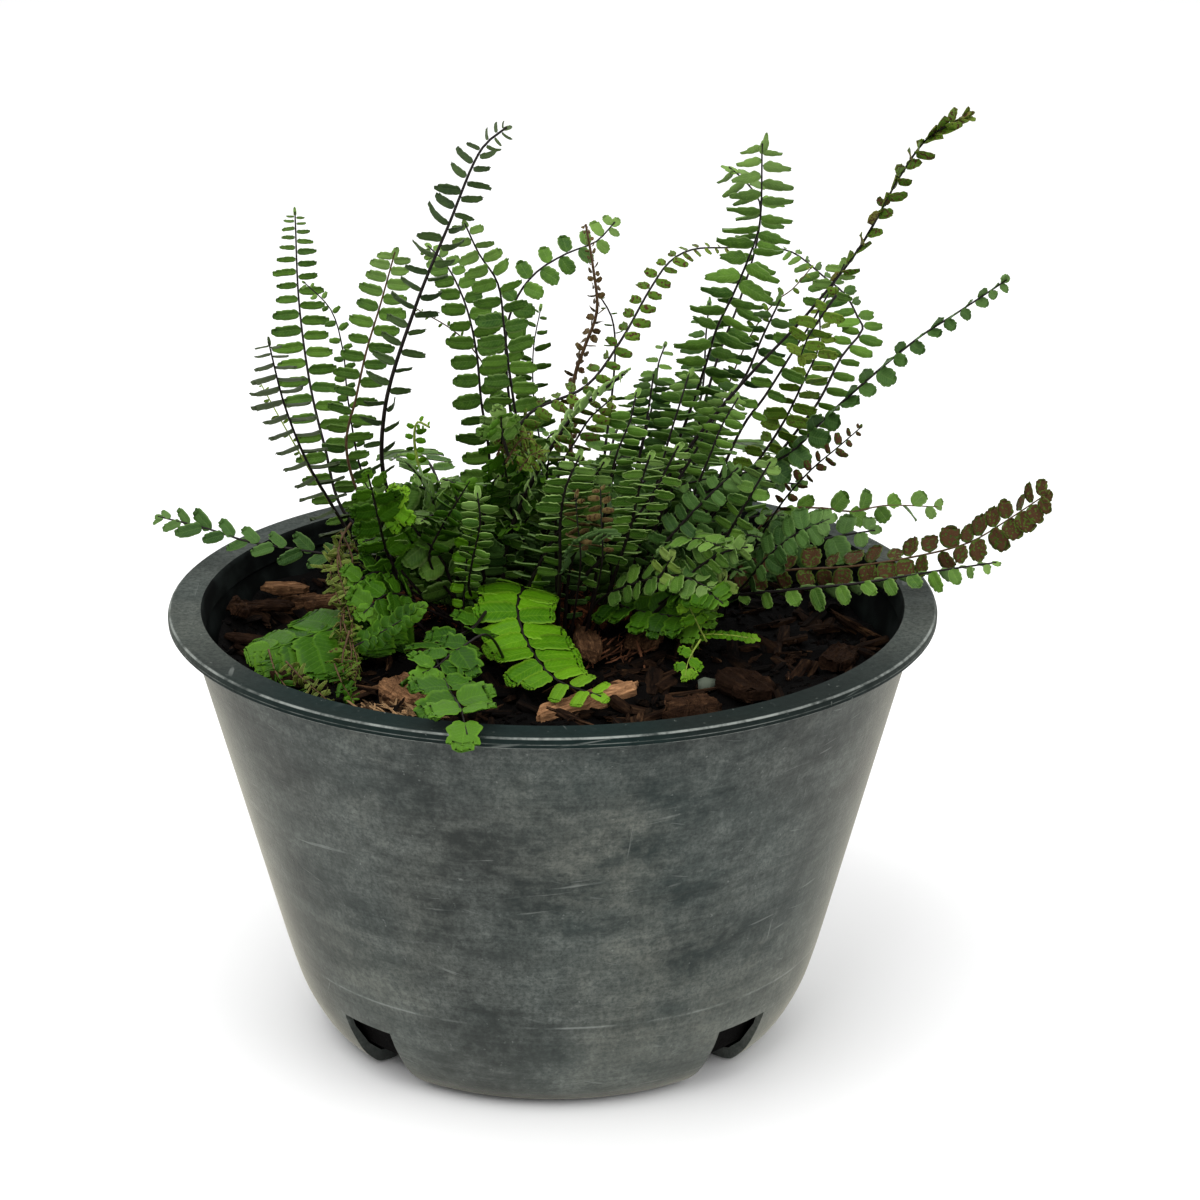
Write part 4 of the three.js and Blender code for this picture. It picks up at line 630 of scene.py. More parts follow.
# The colour sockets of a Mix node, and the number output of a Random Value node.
MIX_A, MIX_B, MIX_RESULT = 6, 7, 2
RANDOM_LOW, RANDOM_HIGH, RANDOM_RESULT = 2, 3, 1


class Nodes:
    """Short ways to add nodes to a tree. A value is a socket to link or a plain default."""

    def __init__(self, tree):
        self.tree = tree

    def feed(self, socket, value):
        if isinstance(value, bpy.types.NodeSocket):
            self.tree.links.new(value, socket)
        else:
            socket.default_value = value

    def make(self, kind, sockets=None, **settings):
        made = self.tree.nodes.new(kind)
        for key, value in settings.items():
            setattr(made, key, value)
        for key, value in (sockets or {}).items():
            self.feed(made.inputs[key], value)
        return made

    def out(self, kind, sockets=None, output=0, **settings):
        return self.make(kind, sockets, **settings).outputs[output]

    def math(self, operation, *values):
        return self.out("ShaderNodeMath", dict(enumerate(values)), operation=operation)

    def plus(self, first, second):
        return self.math("ADD", first, second)

    def minus(self, first, second):
        return self.math("SUBTRACT", first, second)

    def times(self, first, *others):
        for other in others:
            first = self.math("MULTIPLY", first, other)
        return first

    def times_plus(self, first, second, third):
        return self.math("MULTIPLY_ADD", first, second, third)

    def most(self, first, second):
        return self.math("MAXIMUM", first, second)

    def vector(self, operation, *values):
        output = "Value" if operation == "DOT_PRODUCT" else "Vector"
        return self.out("ShaderNodeVectorMath", dict(enumerate(values)), output, operation=operation)

    def scaled(self, value, by):
        return self.out("ShaderNodeVectorMath", {0: value, "Scale": by}, operation="SCALE")

    def combined(self, x=0, y=0, z=0):
        return self.out("ShaderNodeCombineXYZ", {0: x, 1: y, 2: z})

    def mixed(self, factor, first, second, blend="MIX"):
        sockets = {0: factor, MIX_A: first, MIX_B: second}
        return self.out("ShaderNodeMix", sockets, MIX_RESULT, data_type="RGBA", blend_type=blend)

    def step(self, value, low, high, to_low=0.0, to_high=1.0):
        sockets = {"Value": value, "From Min": low, "From Max": high, "To Min": to_low, "To Max": to_high}
        return self.out("ShaderNodeMapRange", sockets, interpolation_type="SMOOTHSTEP")

    def random(self, low, high, seed, number=None):
        sockets = {RANDOM_LOW: low, RANDOM_HIGH: high, "Seed": seed}
        if number is not None:
            sockets["ID"] = number
        return self.out("FunctionNodeRandomValue", sockets, RANDOM_RESULT, data_type="FLOAT")

    def joined(self, *pieces):
        node = self.make("GeometryNodeJoinGeometry")
        for piece in pieces:
            self.tree.links.new(piece, node.inputs[0])
        return node.outputs[0]

    def painted(self, piece, material):
        return self.out("GeometryNodeSetMaterial", {"Geometry": piece, "Material": material})

    def named(self, name, kind="FLOAT"):
        return self.out("GeometryNodeInputNamedAttribute", {"Name": name}, data_type=kind)

    def stored(self, held, name, value, kind="FLOAT"):
        sockets = {"Geometry": held, "Name": name, "Value": value}
        return self.out("GeometryNodeStoreNamedAttribute", sockets, data_type=kind, domain="INSTANCE")

    def attribute(self, name, output="Fac"):
        return self.out("ShaderNodeAttribute", output=output, attribute_name=name)

    def bump(self, height, strength, distance):
        sockets = {"Height": height, "Strength": strength, "Distance": distance}
        return self.out("ShaderNodeBump", sockets, "Normal")


def new_tree(name, inputs, outputs, kind="GeometryNodeTree"):
    """A tree with named sockets. Each socket is a name, a kind and perhaps a default."""
    tree = bpy.data.node_groups.new(name, kind)
    for direction, sockets in (("INPUT", inputs), ("OUTPUT", outputs)):
        for label, socket_kind, *default in sockets:
            made = tree.interface.new_socket(label, in_out=direction, socket_type="NodeSocket" + socket_kind)
            if default:
                made.default_value = default[0]
    given = tree.nodes.new("NodeGroupInput")
    result = tree.nodes.new("NodeGroupOutput")
    return tree, Nodes(tree), given.outputs, result


def floats(**defaults):
    """Rows for new_tree of number sockets, with their names in plain words."""
    return [(name.replace("_", " "), "Float", value) for name, value in defaults.items()]


# Leaflets' wobble in degrees for a loose of 1, about the rib, towards the tip and about their own
# length, and the last one's.
FOLD_WOBBLE = 9
SWEEP_WOBBLE = 6
TWIST_WOBBLE = 11
LAST_WOBBLE = 8
CRUMPLE_SCALE = 230.0
RIB_SIDES = 7
RIB_THINNING = -0.6


def leaflet_row(n, given, curve, hand, count, shape, lag):
    """Leaflets on one side of a rib, hand 1 or -1, or with hand 0 the last one at its tip."""
    left = " Left" if hand < 0 else ""
    index = n.out("GeometryNodeInputIndex")
    if hand:
        share = n.math("DIVIDE", n.plus(index, lag), given["Pairs"])
        reach = n.minus(given["Finish"], given["Start"])
        closer = n.math("POWER", n.minus(1, share), given["Crowding"])
        factor = n.times_plus(n.minus(1, closer), reach, given["Start"])
    else:
        share = n.plus(index, 1)
        factor = given["End Leaf"]
    sample = n.make("GeometryNodeSampleCurve", {"Curves": curve, "Factor": factor}, mode="FACTOR")
    along = sample.outputs["Tangent"]
    lean = n.scaled(along, n.vector("DOT_PRODUCT", given["Face"], along))
    up = n.vector("NORMALIZE", n.vector("SUBTRACT", given["Face"], lean))
    side = n.scaled(n.vector("CROSS_PRODUCT", along, up), hand or 1)
    seed = n.plus(given["Seed"], 40 + 10 * hand)

    def wobble(degrees, row):
        reach = n.times(given["Loose"], math.radians(degrees))
        return n.times(n.random(-1, 1, n.plus(seed, row), index), reach)

    def turn(first, second, angle):
        first = n.scaled(first, n.math("COSINE", angle))
        return n.vector("ADD", first, n.scaled(second, n.math("SINE", angle)))

    if hand:
        out = turn(side, up, n.plus(given["Fold" + left], wobble(FOLD_WOBBLE, 1)))
        way = turn(out, along, n.plus(given["Sweep"], wobble(SWEEP_WOBBLE, 2)))
        steep = n.times(n.vector("DOT_PRODUCT", way, (0, 0, 1)), given["Level"])
        lower = n.combined(z=n.plus(steep, given["Droop"]))
        way = n.vector("NORMALIZE", n.vector("SUBTRACT", way, lower))
        more = n.times_plus(n.minus(1, share), given["Base Twist"], given["Twist" + left])
        across = turn(along, up, n.plus(more, wobble(TWIST_WOBBLE, 3)))
        over = n.scaled(n.vector("CROSS_PRODUCT", across, way), -hand)
    else:
        way = turn(along, side, wobble(LAST_WOBBLE, 2))
        over = up
    axes = {"Primary Axis": way, "Secondary Axis": over}
    rotation = n.out("FunctionNodeAxesToRotation", axes, primary_axis="X", secondary_axis="Z")

    # They are smaller at the foot and at the tip, and no two are of one size.
    rise = n.times_plus(share, 1.2, 0.72)
    fall = n.times_plus(n.minus(1, share), given["Taper"], given["Tip Share"])
    size = n.math("MINIMUM", n.math("MINIMUM", rise, fall), 1) if hand else given["Tip Share"]
    size = n.times(size, n.random(0.86, 1.14, n.plus(seed, 4), index))
    long = n.times(size, given["Long"])
    scale = n.combined(long, n.times(size, given["Wide"]), long)
    off_rib = n.scaled(side, n.times(given["Stem Radius"], 0.5 * abs(hand)))
    place = n.vector("ADD", sample.outputs["Position"], off_rib)
    points = n.out("GeometryNodeSetPosition", {"Geometry": count, "Position": place})
    sockets = {"Points": points, "Instance": shape, "Rotation": rotation, "Scale": scale}
    held = n.out("GeometryNodeInstanceOnPoints", sockets)
    bend = n.times(given["Curl"], n.random(-0.35, 1, n.plus(seed, 5), index))
    held = n.stored(held, "leaf_tone", n.random(0, 1, n.plus(seed, 6), index))
    held = n.stored(held, "leaf_share", share)
    bent = n.scaled(n.vector("NORMALIZE", over), n.times(bend, long))
    held = n.stored(held, "leaf_bend", bent, "FLOAT_VECTOR")

    # Once real, each bends along its length and is crumpled by noise, most at its tip.
    real = n.out("GeometryNodeRealizeInstances", {"Geometry": held})
    outward = n.named("leaf_u")
    offset = n.scaled(n.named("leaf_bend", "FLOAT_VECTOR"), n.times(outward, outward, -1))
    uneven = n.out("ShaderNodeTexNoise", {"Scale": CRUMPLE_SCALE, "Detail": 2.0}, "Color")
    shift = n.scaled(n.vector("SUBTRACT", uneven, (0.5, 0.5, 0.5)), n.times(outward, given["Uneven"]))
    return n.out("GeometryNodeSetPosition", {"Geometry": real, "Offset": n.vector("ADD", offset, shift)})


def frond_tree():
    """Ribs a path and sets two rows of leaflets along it."""
    tree, n, given, result = new_tree(
        "Frond",
        [
            ("Geometry", "Geometry"),
            ("Leaflet", "Object"),
            ("Pairs", "Int", 12),
            *floats(
                Start=0.2, Finish=0.96, Long=0.007, Wide=0.004, Fold=0.0, Twist=0.0, Twist_Left=0.0,
                Sweep=0.2, Curl=0.1, Tip_Share=0.3, Taper=2.1, Crowding=1.15, Level=0.0, Droop=0.0,
                Base_Twist=0.0, Fold_Left=0.0, Loose=1.0, Uneven=0.002, End_Leaf=0.98, Stem_Radius=0.0005,
            ),
            ("Face", "Vector"),
            ("Seed", "Int", 1),
            ("Leaf Material", "Material"),
            ("Rib Material", "Material"),
        ],
        [("Geometry", "Geometry")],
    )
    curve = n.out("GeometryNodeMeshToCurve", {"Mesh": given["Geometry"]})
    leaflet = n.out("GeometryNodeObjectInfo", {"Object": given["Leaflet"]}, "Geometry")
    mirrored = n.out("GeometryNodeTransform", {"Geometry": leaflet, "Scale": (1, -1, 1)})
    left_leaflet = n.out("GeometryNodeFlipFaces", {"Mesh": mirrored})
    row = n.out("GeometryNodePoints", {"Count": given["Pairs"]})
    single = n.out("GeometryNodePoints", {"Count": 1})
    leaves = n.joined(
        leaflet_row(n, given, curve, 1, row, leaflet, 0.5),
        leaflet_row(n, given, curve, -1, row, left_leaflet, 0.9),
        leaflet_row(n, given, curve, 0, single, leaflet, 0),
    )
    thin = n.times_plus(n.out("GeometryNodeSplineParameter"), RIB_THINNING, 1)
    radius = n.times(thin, given["Stem Radius"])
    sized = n.out("GeometryNodeSetCurveRadius", {"Curve": curve, "Radius": radius})
    ring = n.out("GeometryNodeCurvePrimitiveCircle", {"Resolution": RIB_SIDES, "Radius": 1.0})
    rib = n.make("GeometryNodeCurveToMesh", {"Curve": sized, "Profile Curve": ring, "Fill Caps": True})
    if "Scale" in rib.inputs:
        n.feed(rib.inputs["Scale"], radius)
    painted_leaves = n.painted(leaves, given["Leaf Material"])
    whole = n.joined(n.painted(rib.outputs[0], given["Rib Material"]), painted_leaves)
    smooth = n.out("GeometryNodeSetShadeSmooth", {"Geometry": whole})
    tree.links.new(smooth, result.inputs[0])
    return tree


def scatter_tree():
    """Strews a few kinds of small pieces over a surface."""
    tree, n, given, result = new_tree(
        "Strewn Pieces",
        [
            ("Geometry", "Geometry"),
            ("First Kind", "Object"),
            ("Second Kind", "Object"),
            ("Third Kind", "Object"),
            *floats(
                Density=1000.0, Smallest=0.6, Largest=1.2, Tilt=0.4, Lift=0.0, Turn=0.0, Turn_Spread=math.pi
            ),
            ("Seed", "Int", 1),
            ("Material", "Material"),
        ],
        [("Geometry", "Geometry")],
    )
    seed = given["Seed"]

    def drawn(low, high, row):
        return n.random(low, high, n.plus(seed, row))

    density = n.times(given["Density"], n.named("cover"))
    sockets = {"Mesh": given["Geometry"], "Density": density, "Seed": seed}
    spread = n.make("GeometryNodeDistributePointsOnFaces", sockets)
    infos = [
        n.out("GeometryNodeObjectInfo", {"Object": given[name], "As Instance": True}, "Geometry")
        for name in ("Third Kind", "Second Kind", "First Kind")
    ]
    tilt = n.times(given["Tilt"], -1)
    turn = n.times_plus(drawn(-1, 1, 3), given["Turn Spread"], given["Turn"])
    euler = n.combined(drawn(tilt, given["Tilt"], 1), drawn(tilt, given["Tilt"], 2), turn)
    size = drawn(given["Smallest"], given["Largest"], 4)
    stretch = n.combined(n.times(size, drawn(0.75, 1.35, 5)), n.times(size, drawn(0.75, 1.25, 6)), size)
    held = n.out(
        "GeometryNodeInstanceOnPoints",
        {
            "Points": spread.outputs["Points"],
            "Instance": n.joined(*infos),
            "Pick Instance": True,
            "Instance Index": n.math("FLOOR", drawn(0, 2.999, 7)),
            "Rotation": n.out("FunctionNodeEulerToRotation", {"Euler": euler}),
            "Scale": stretch,
        },
    )
    held = n.stored(held, "chip_tone", drawn(0, 1, 8))
    up = n.combined(z=given["Lift"])
    lifted = n.out("GeometryNodeTranslateInstances", {"Instances": held, "Translation": up})
    real = n.out("GeometryNodeRealizeInstances", {"Geometry": lifted})
    tree.links.new(n.painted(real, given["Material"]), result.inputs[0])
    return tree


# Shader node groups

# Scales of noise, in features to the metre.
LEAF_PATCHES = 90
LEAF_GRAIN = 900
LEAF_SPORES = 1300
RIB_STREAKS = 700
WOOD_FIBRES = 1100
WOOD_BANDS = 300
WOOD_PATCHES = 170

# Side veins along a leaflet, and how far they slant.
VEINS = 9
VEIN_SLANT = -2.1
SURFACE = [("Color", "Color"), ("Roughness", "Float"), ("Height", "Float")]


def object_coordinates(n):
    return n.out("ShaderNodeTexCoord", output="Object")


def speckle(n, place, scale, detail=3.0, roughness=0.55, stretch=None):
    """Noise of a scale, in features to the metre, drawn out by stretch."""
    if stretch:
        place = n.out("ShaderNodeMapping", {"Vector": place, "Scale": stretch})
    sockets = {"Vector": place, "Scale": scale, "Detail": detail, "Roughness": roughness}
    return n.out("ShaderNodeTexNoise", sockets, "Fac")


def leaf_group():
    """Colour, roughness and relief of a leaflet: tone, veins, midrib, light rim, spores."""
    colours = [(name, "Color") for name in ("Dark", "Light", "Rim", "Underside", "Spot")]
    values = floats(Spots=0.0, Rim_Strength=0.4)
    tree, n, given, result = new_tree("Leaf Surface", colours + values, SURFACE, "ShaderNodeTree")
    place = object_coordinates(n)
    split = n.make("ShaderNodeSeparateXYZ", {0: n.out("ShaderNodeUVMap", uv_map="LeafUV")})
    out, across = split.outputs[0], split.outputs[1]
    off_middle = n.times(n.math("ABSOLUTE", n.minus(across, 0.5)), 2)
    patches = n.step(speckle(n, place, LEAF_PATCHES, 2), 0.35, 0.68)
    fine = n.step(speckle(n, place, LEAF_GRAIN, 3), 0.3, 0.7)
    blend = n.plus(n.times(n.attribute("leaf_tone"), 0.7), n.times(patches, 0.3))
    light = n.times_plus(fine, 0.22, n.times(blend, 0.85))
    body = n.mixed(light, given["Dark"], given["Light"])
    young = n.step(n.attribute("leaf_share"), 0.72, 1.0, 0.0, 0.3)
    phase = n.times_plus(off_middle, VEIN_SLANT, n.times(out, VEINS))
    veins = n.step(n.math("COSINE", n.times(phase, 2 * math.pi)), 0.72, 1.0)
    midrib = n.step(off_middle, 0.1, 0.02)
    rim = n.times(n.step(off_middle, 0.72, 0.98), given["Rim Strength"])
    for share in (young, n.times(veins, 0.11), n.times(midrib, 0.12), rim):
        body = n.mixed(share, body, given["Rim"])
    paler = n.mixed(n.times(n.attribute("leaf_under"), 0.7), body, given["Underside"])

    # Spores fill more of the leaflet as Spots grows, but never its edge and ends.
    cut = n.times_plus(given["Spots"], -0.3, 0.62)
    spores = n.step(speckle(n, place, LEAF_SPORES, 1), cut, n.plus(cut, 0.08))
    inside = n.step(off_middle, 0.93, 0.8)
    shown = n.step(given["Spots"], 0.0, 0.2)
    ends = n.times(n.step(out, 0.04, 0.14), n.step(out, 0.98, 0.86))
    spotted = n.times(inside, spores, shown, ends)
    tree.links.new(n.mixed(spotted, paler, given["Spot"]), result.inputs["Color"])
    rough = n.times_plus(fine, 0.12, n.times_plus(spotted, 0.35, 0.42))
    tree.links.new(rough, result.inputs["Roughness"])
    relief = n.times_plus(veins, -0.5, n.times(midrib, -0.4))
    relief = n.times_plus(spotted, 1.2, n.times_plus(fine, 0.25, relief))
    tree.links.new(relief, result.inputs["Height"])
    return tree


def wood_group():
    """Bark and mix: fibres along a piece, dark damp patches and pale broken faces."""
    colours = [(name, "Color") for name in ("Dark", "Middle", "Pale")]
    values = [("Stretch", "Vector"), *floats(Contrast=1.0)]
    tree, n, given, result = new_tree("Bark Surface", colours + values, SURFACE, "ShaderNodeTree")
    place = object_coordinates(n)
    grain = n.attribute("grain", "Vector")
    drawn = n.out("ShaderNodeMapping", {"Vector": grain, "Scale": given["Stretch"]})
    drawn = n.vector("ADD", drawn, n.scaled(place, 0.12))
    fibre = speckle(n, drawn, WOOD_FIBRES, 5, 0.65)
    broad = speckle(n, drawn, WOOD_BANDS, 2, 0.5)
    patch = speckle(n, place, WOOD_PATCHES, 3)
    damp = n.step(n.times_plus(patch, 0.55, n.times(n.attribute("chip_tone"), 0.55)), 0.28, 0.74)
    body = n.mixed(damp, given["Dark"], given["Middle"])
    streaks = n.times(n.step(fibre, 0.46, 0.64), n.step(broad, 0.36, 0.62, 0.35, 1.0))
    pale = n.times(streaks, n.times_plus(damp, 0.85, 0.1))
    coloured = n.mixed(pale, body, given["Pale"])
    cracks = n.most(n.step(fibre, 0.42, 0.3), n.step(broad, 0.38, 0.3))
    coloured = n.mixed(n.times(cracks, given["Contrast"]), coloured, given["Dark"])
    tree.links.new(coloured, result.inputs["Color"])
    tree.links.new(n.times_plus(patch, -0.2, 1.0), result.inputs["Roughness"])
    tree.links.new(n.times_plus(broad, 1.6, fibre), result.inputs["Height"])
    return tree


def rgba(color):
    return (*color[:3], 1.0)


def new_material(name, plain):
    """A material whose shader has the plain values, with short ways to add nodes."""
    material = bpy.data.materials.new(name)
    material.use_nodes = True
    shader = material.node_tree.nodes["Principled BSDF"]
    for key, value in plain.items():
        shader.inputs[key].default_value = value
    return material, Nodes(material.node_tree), shader


def grouped_material(name, group, values, bump, distance, plain):
    """A material that takes colour, roughness and relief from a group with its own values."""
    material, n, shader = new_material(name, plain)
    surface = n.make("ShaderNodeGroup", node_tree=group)
    for key, value in values.items():
        surface.inputs[key].default_value = value
    n.feed(shader.inputs["Base Color"], surface.outputs["Color"])
    n.feed(shader.inputs["Roughness"], surface.outputs["Roughness"])
    n.feed(shader.inputs["Normal"], n.bump(surface.outputs["Height"], bump, distance))
    return material


# Dark, light, rim and underside colour, share of spots and strength of the rim.
LEAF_LOOKS = {
    "green": ((0.017, 0.055, 0.008), (0.1, 0.208, 0.023), (0.27, 0.39, 0.12), (0.12, 0.2, 0.07), 0, 0.4),
    "dark": ((0.01, 0.035, 0.006), (0.054, 0.12, 0.023), (0.17, 0.28, 0.08), (0.06, 0.115, 0.035), 0, 0.35),
    "dusky": ((0.012, 0.026, 0.009), (0.055, 0.098, 0.025), (0.15, 0.19, 0.1), (0.045, 0.056, 0.03), 0, 0.5),
    "rimmed": ((0.014, 0.052, 0.005), (0.075, 0.175, 0.016), (0.32, 0.48, 0.14), (0.15, 0.24, 0.07), 0, 0.95),
    "fresh": ((0.007, 0.034, 0.0008), (0.032, 0.101, 0.002), (0.13, 0.29, 0.02), (0.05, 0.13, 0.01), 0, 0.35),
    "lime": ((0.022, 0.09, 0.001), (0.085, 0.225, 0.003), (0.25, 0.45, 0.03), (0.12, 0.26, 0.02), 0, 0.35),
    "olive": ((0.028, 0.07, 0.004), (0.095, 0.172, 0.013), (0.3, 0.38, 0.06), (0.16, 0.21, 0.04), 0.12, 0.4),
    "pale": ((0.05, 0.11, 0.01), (0.16, 0.24, 0.04), (0.3, 0.4, 0.12), (0.18, 0.25, 0.08), 0, 0.5),
    "tipped": ((0.02, 0.06, 0.003), (0.09, 0.17, 0.012), (0.22, 0.26, 0.05), (0.13, 0.1, 0.03), 0.3, 0.5),
    "sori": ((0.018, 0.04, 0.003), (0.06, 0.1, 0.01), (0.07, 0.1, 0.015), (0.06, 0.07, 0.015), 0.78, 0.6),
    "curled": ((0.028, 0.042, 0.004), (0.11, 0.15, 0.02), (0.3, 0.36, 0.09), (0.12, 0.11, 0.03), 0.1, 0.6),
    "withered": ((0.035, 0.02, 0.007), (0.13, 0.09, 0.03), (0.22, 0.18, 0.06), (0.1, 0.07, 0.03), 0.3, 0.4),
}
SPOT_BROWN = (0.055, 0.026, 0.011)
RIB_LOOKS = {
    "dark": (0.006, 0.0035, 0.003),
    "brown": (0.06, 0.032, 0.014),
    "light": (0.16, 0.22, 0.03),
}
LEAF_BUMP = (0.4, 0.0004)
WOOD_BUMP_DEPTH = 0.0007


def leaf_materials():
    """Materials of the leaflets and the ribs by their names."""
    group = leaf_group()
    looks = {}
    for name, (*colours, spots, strength) in LEAF_LOOKS.items():
        labels = ("Dark", "Light", "Rim", "Underside", "Spot")
        values = dict(zip(labels, map(rgba, (*colours, SPOT_BROWN))))
        values.update({"Spots": spots, "Rim Strength": strength})
        name = "leaf_" + name
        looks[name] = grouped_material(name, group, values, *LEAF_BUMP, {"Specular IOR Level": 0.1})
    for name, color in RIB_LOOKS.items():
        material, n, shader = new_material("rib_" + name, {"Specular IOR Level": 0.2})
        streak = speckle(n, object_coordinates(n), RIB_STREAKS, 3, 0.6)
        paler = tuple(min(1, 1.7 * c + 0.003) for c in color)
        n.feed(shader.inputs["Base Color"], n.mixed(n.step(streak, 0.4, 0.75), rgba(color), rgba(paler)))
        n.feed(shader.inputs["Roughness"], n.times_plus(streak, 0.25, 0.4))
        looks[material.name] = material
    return looks


def wood_material(name, dark, middle, pale, stretch=(0.12, 1, 1), bump=0.7, contrast=0.85):
    """Bark or mix with its colours, its fibres drawn out by stretch, and the depth of its cracks."""
    values = {"Dark": rgba(dark), "Middle": rgba(middle), "Pale": rgba(pale)}
    values.update({"Stretch": stretch, "Contrast": contrast})
    group = bpy.data.node_groups.get("Bark Surface") or wood_group()
    return grouped_material(name, group, values, bump, WOOD_BUMP_DEPTH, {"Specular IOR Level": 0.06})


# Leaflets

# Squareness of the outline, teeth, their depth and share on the lower side, widest place, hollow
# across, droop, and the rows and columns of faces.
LEAFLET_FACTS = ("square", "teeth", "depth", "even", "widest", "hollow", "droop", "rows", "columns")
LEAFLET_KINDS = {
    "oval": (2.7, 5, 0.13, 0.4, 0.47, 0.09, 0.07, 15, 4),
    "small": (2.5, 3, 0.15, 0.5, 0.48, 0.09, 0.06, 9, 2),
    "round": (2.4, 5, 0.1, 0.8, 0.54, 0.09, 0.1, 15, 4),
    "lance": (1.75, 4, 0.2, 0.7, 0.33, 0.08, 0.14, 19, 2),
    "toothed": (4.4, 7, 0.16, 0.7, 0.57, 0.05, 0.1, 24, 4),
    "lobed": (2.9, 4, 0.26, 1.0, 0.55, 0.1, 0.12, 20, 4),
}
LEAFLET_THICKNESS = 0.045
EDGE_THINNING = 0.35

# The ear at the foot of a leaflet's upper side: how far it stands out, where, and how wide it is.
EAR_REACH = 0.16
EAR_PLACE = 0.16
EAR_WIDTH = 0.13
LOWER_SIDE = 0.94


def leaflet_outline(kind, share, hand):
    """A point of the outline, from the stalk at share 0 to the tip at 1, on one side."""
    angle = math.pi * share
    power = 2 / kind["square"]
    x = 0.5 - 0.5 * math.copysign(abs(math.cos(angle)) ** power, math.cos(angle))
    y = 0.5 * math.sin(angle) ** power
    x = x ** (math.log(kind["widest"]) / math.log(0.5))
    notch = 1 - abs(math.sin(kind["teeth"] * angle))
    outer = kind["even"] if hand < 0 else 1.0
    reach = 1 - kind["depth"] * outer * notch * min(1, 3 * share)
    ear = 1 + EAR_REACH * math.exp(-(((x - EAR_PLACE) / EAR_WIDTH) ** 2)) if hand > 0 else LOWER_SIDE
    if share > 0.5:
        x *= 1 - (1 - reach) * 0.8
    return x, hand * y * reach * ear


def leaflet_object(name, kind):
    """A closed thin leaflet, 1 long and 1 wide, from its stalk at the origin towards X."""
    rows, columns = kind["rows"], kind["columns"]
    points = []
    facts = []
    layers = []
    for layer, under in ((1, 0.0), (-1, 1.0)):
        grid = []
        for i in range(rows + 1):
            row = []
            upper = leaflet_outline(kind, i / rows, 1)
            lower = leaflet_outline(kind, i / rows, -1)
            for j in range(columns + 1) if 0 < i < rows else [columns // 2]:
                x, y = between(lower, upper, j / columns)
                off = abs(j / columns - 0.5) * 2
                z = kind["hollow"] * off ** 1.5 * 0.9 - kind["droop"] * x * x
                edge = EDGE_THINNING if off > 0.99 or i in (0, rows) else 1.0
                points.append(Vector((x, y, z + layer * edge * LEAFLET_THICKNESS / 2)))
                facts.append((x, j / columns, under))
                row.append(len(points) - 1)
            grid.append(row if len(row) > 1 else row * (columns + 1))
        layers.append(grid)
    faces = []
    top, bottom = layers
    for i in range(rows):
        for j in range(columns):
            faces.append((top[i][j], top[i + 1][j], top[i + 1][j + 1], top[i][j + 1]))
            faces.append((bottom[i][j], bottom[i][j + 1], bottom[i + 1][j + 1], bottom[i + 1][j]))
        for j, way in ((0, 1), (columns, -1)):
            faces.append((top[i][j], bottom[i][j], bottom[i + 1][j], top[i + 1][j])[::way])

    # At the stalk and the tip the rows are single points, so some corners fall together.
    merged = [[p for k, p in enumerate(face) if p != face[k - 1]] for face in faces]
    made = mesh_object(name, points, [face for face in merged if len(face) > 2])
    mesh = made.data
    uv = mesh.uv_layers.new(name="LeafUV")
    for loop in mesh.loops:
        uv.data[loop.index].uv = facts[loop.vertex_index][:2]
    for attribute, column in (("leaf_u", 0), ("leaf_under", 2)):
        values = mesh.attributes.new(attribute, "FLOAT", "POINT")
        values.data.foreach_set("value", [fact[column] for fact in facts])
    return made


# Paths of fronds

def frond_path(first, *others):
    """Points along a frond, in metres, to the tip: from under its root, or in the air without one."""
    knots = [Vector(p) for p in others]
    points = []
    if len(first) == 2:
        start = Vector((*first, ground_top(*first)))
        foot_way = (Vector((0, 0, 1.2)) + (knots[0] - start).normalized()).normalized()
        knots = [start, start + foot_way * STEM_RISE, *knots]
        points.append(start - foot_way * STEM_FOOT)
    else:
        knots.insert(0, Vector(first))
    spans = [(b - a).length ** 0.5 for a, b in zip(knots, knots[1:])]
    padded = [knots[0] * 2 - knots[1], *knots, knots[-1] * 2 - knots[-2]]
    gaps = [spans[0], *spans, spans[-1]]
    for i in range(len(knots) - 1):
        a, b, c, d = padded[i:i + 4]
        t0, t1, t2 = 0, gaps[i], gaps[i] + gaps[i + 1]
        t3 = t2 + gaps[i + 2]
        steps = max(3, round((c - b).length / PATH_STEP))
        for k in range(steps):
            t = t1 + (t2 - t1) * k / steps
            ab = a.lerp(b, (t - t0) / (t1 - t0))
            bc = b.lerp(c, (t - t1) / (t2 - t1))
            cd = c.lerp(d, (t - t2) / (t3 - t2))
            abc = ab.lerp(bc, (t - t0) / (t2 - t0))
            bcd = bc.lerp(cd, (t - t1) / (t3 - t1))
            points.append(abc.lerp(bcd, (t - t1) / (t2 - t1)))
    points.append(knots[-1])
    return [p * MM for p in points]


def path_length(points):
    return sum((Vector(b) - Vector(a)).length for a, b in zip(points, points[1:]))


def grounded(path, start):
    """A strand's path and start with its stem run on down into the crown, its leaflets kept in place."""
    first = Vector(path[0])
    foot = Vector((0.6 * first.x, 0.5 * first.y + 16, 0))
    foot.z = ground_top(foot.x, foot.y) - 2
    added = (first - foot).length
    length = path_length(path)
    return dict(path=[tuple(foot), *path], start=(added + start * length) / (added + length))


def joined(pieces, name):
    """Several mesh objects as one, under the name."""
    with bpy.context.temp_override(active_object=pieces[0], selected_editable_objects=pieces):
        bpy.ops.object.join()
    pieces[0].name = name
    pieces[0].data.name = name
    return pieces[0]


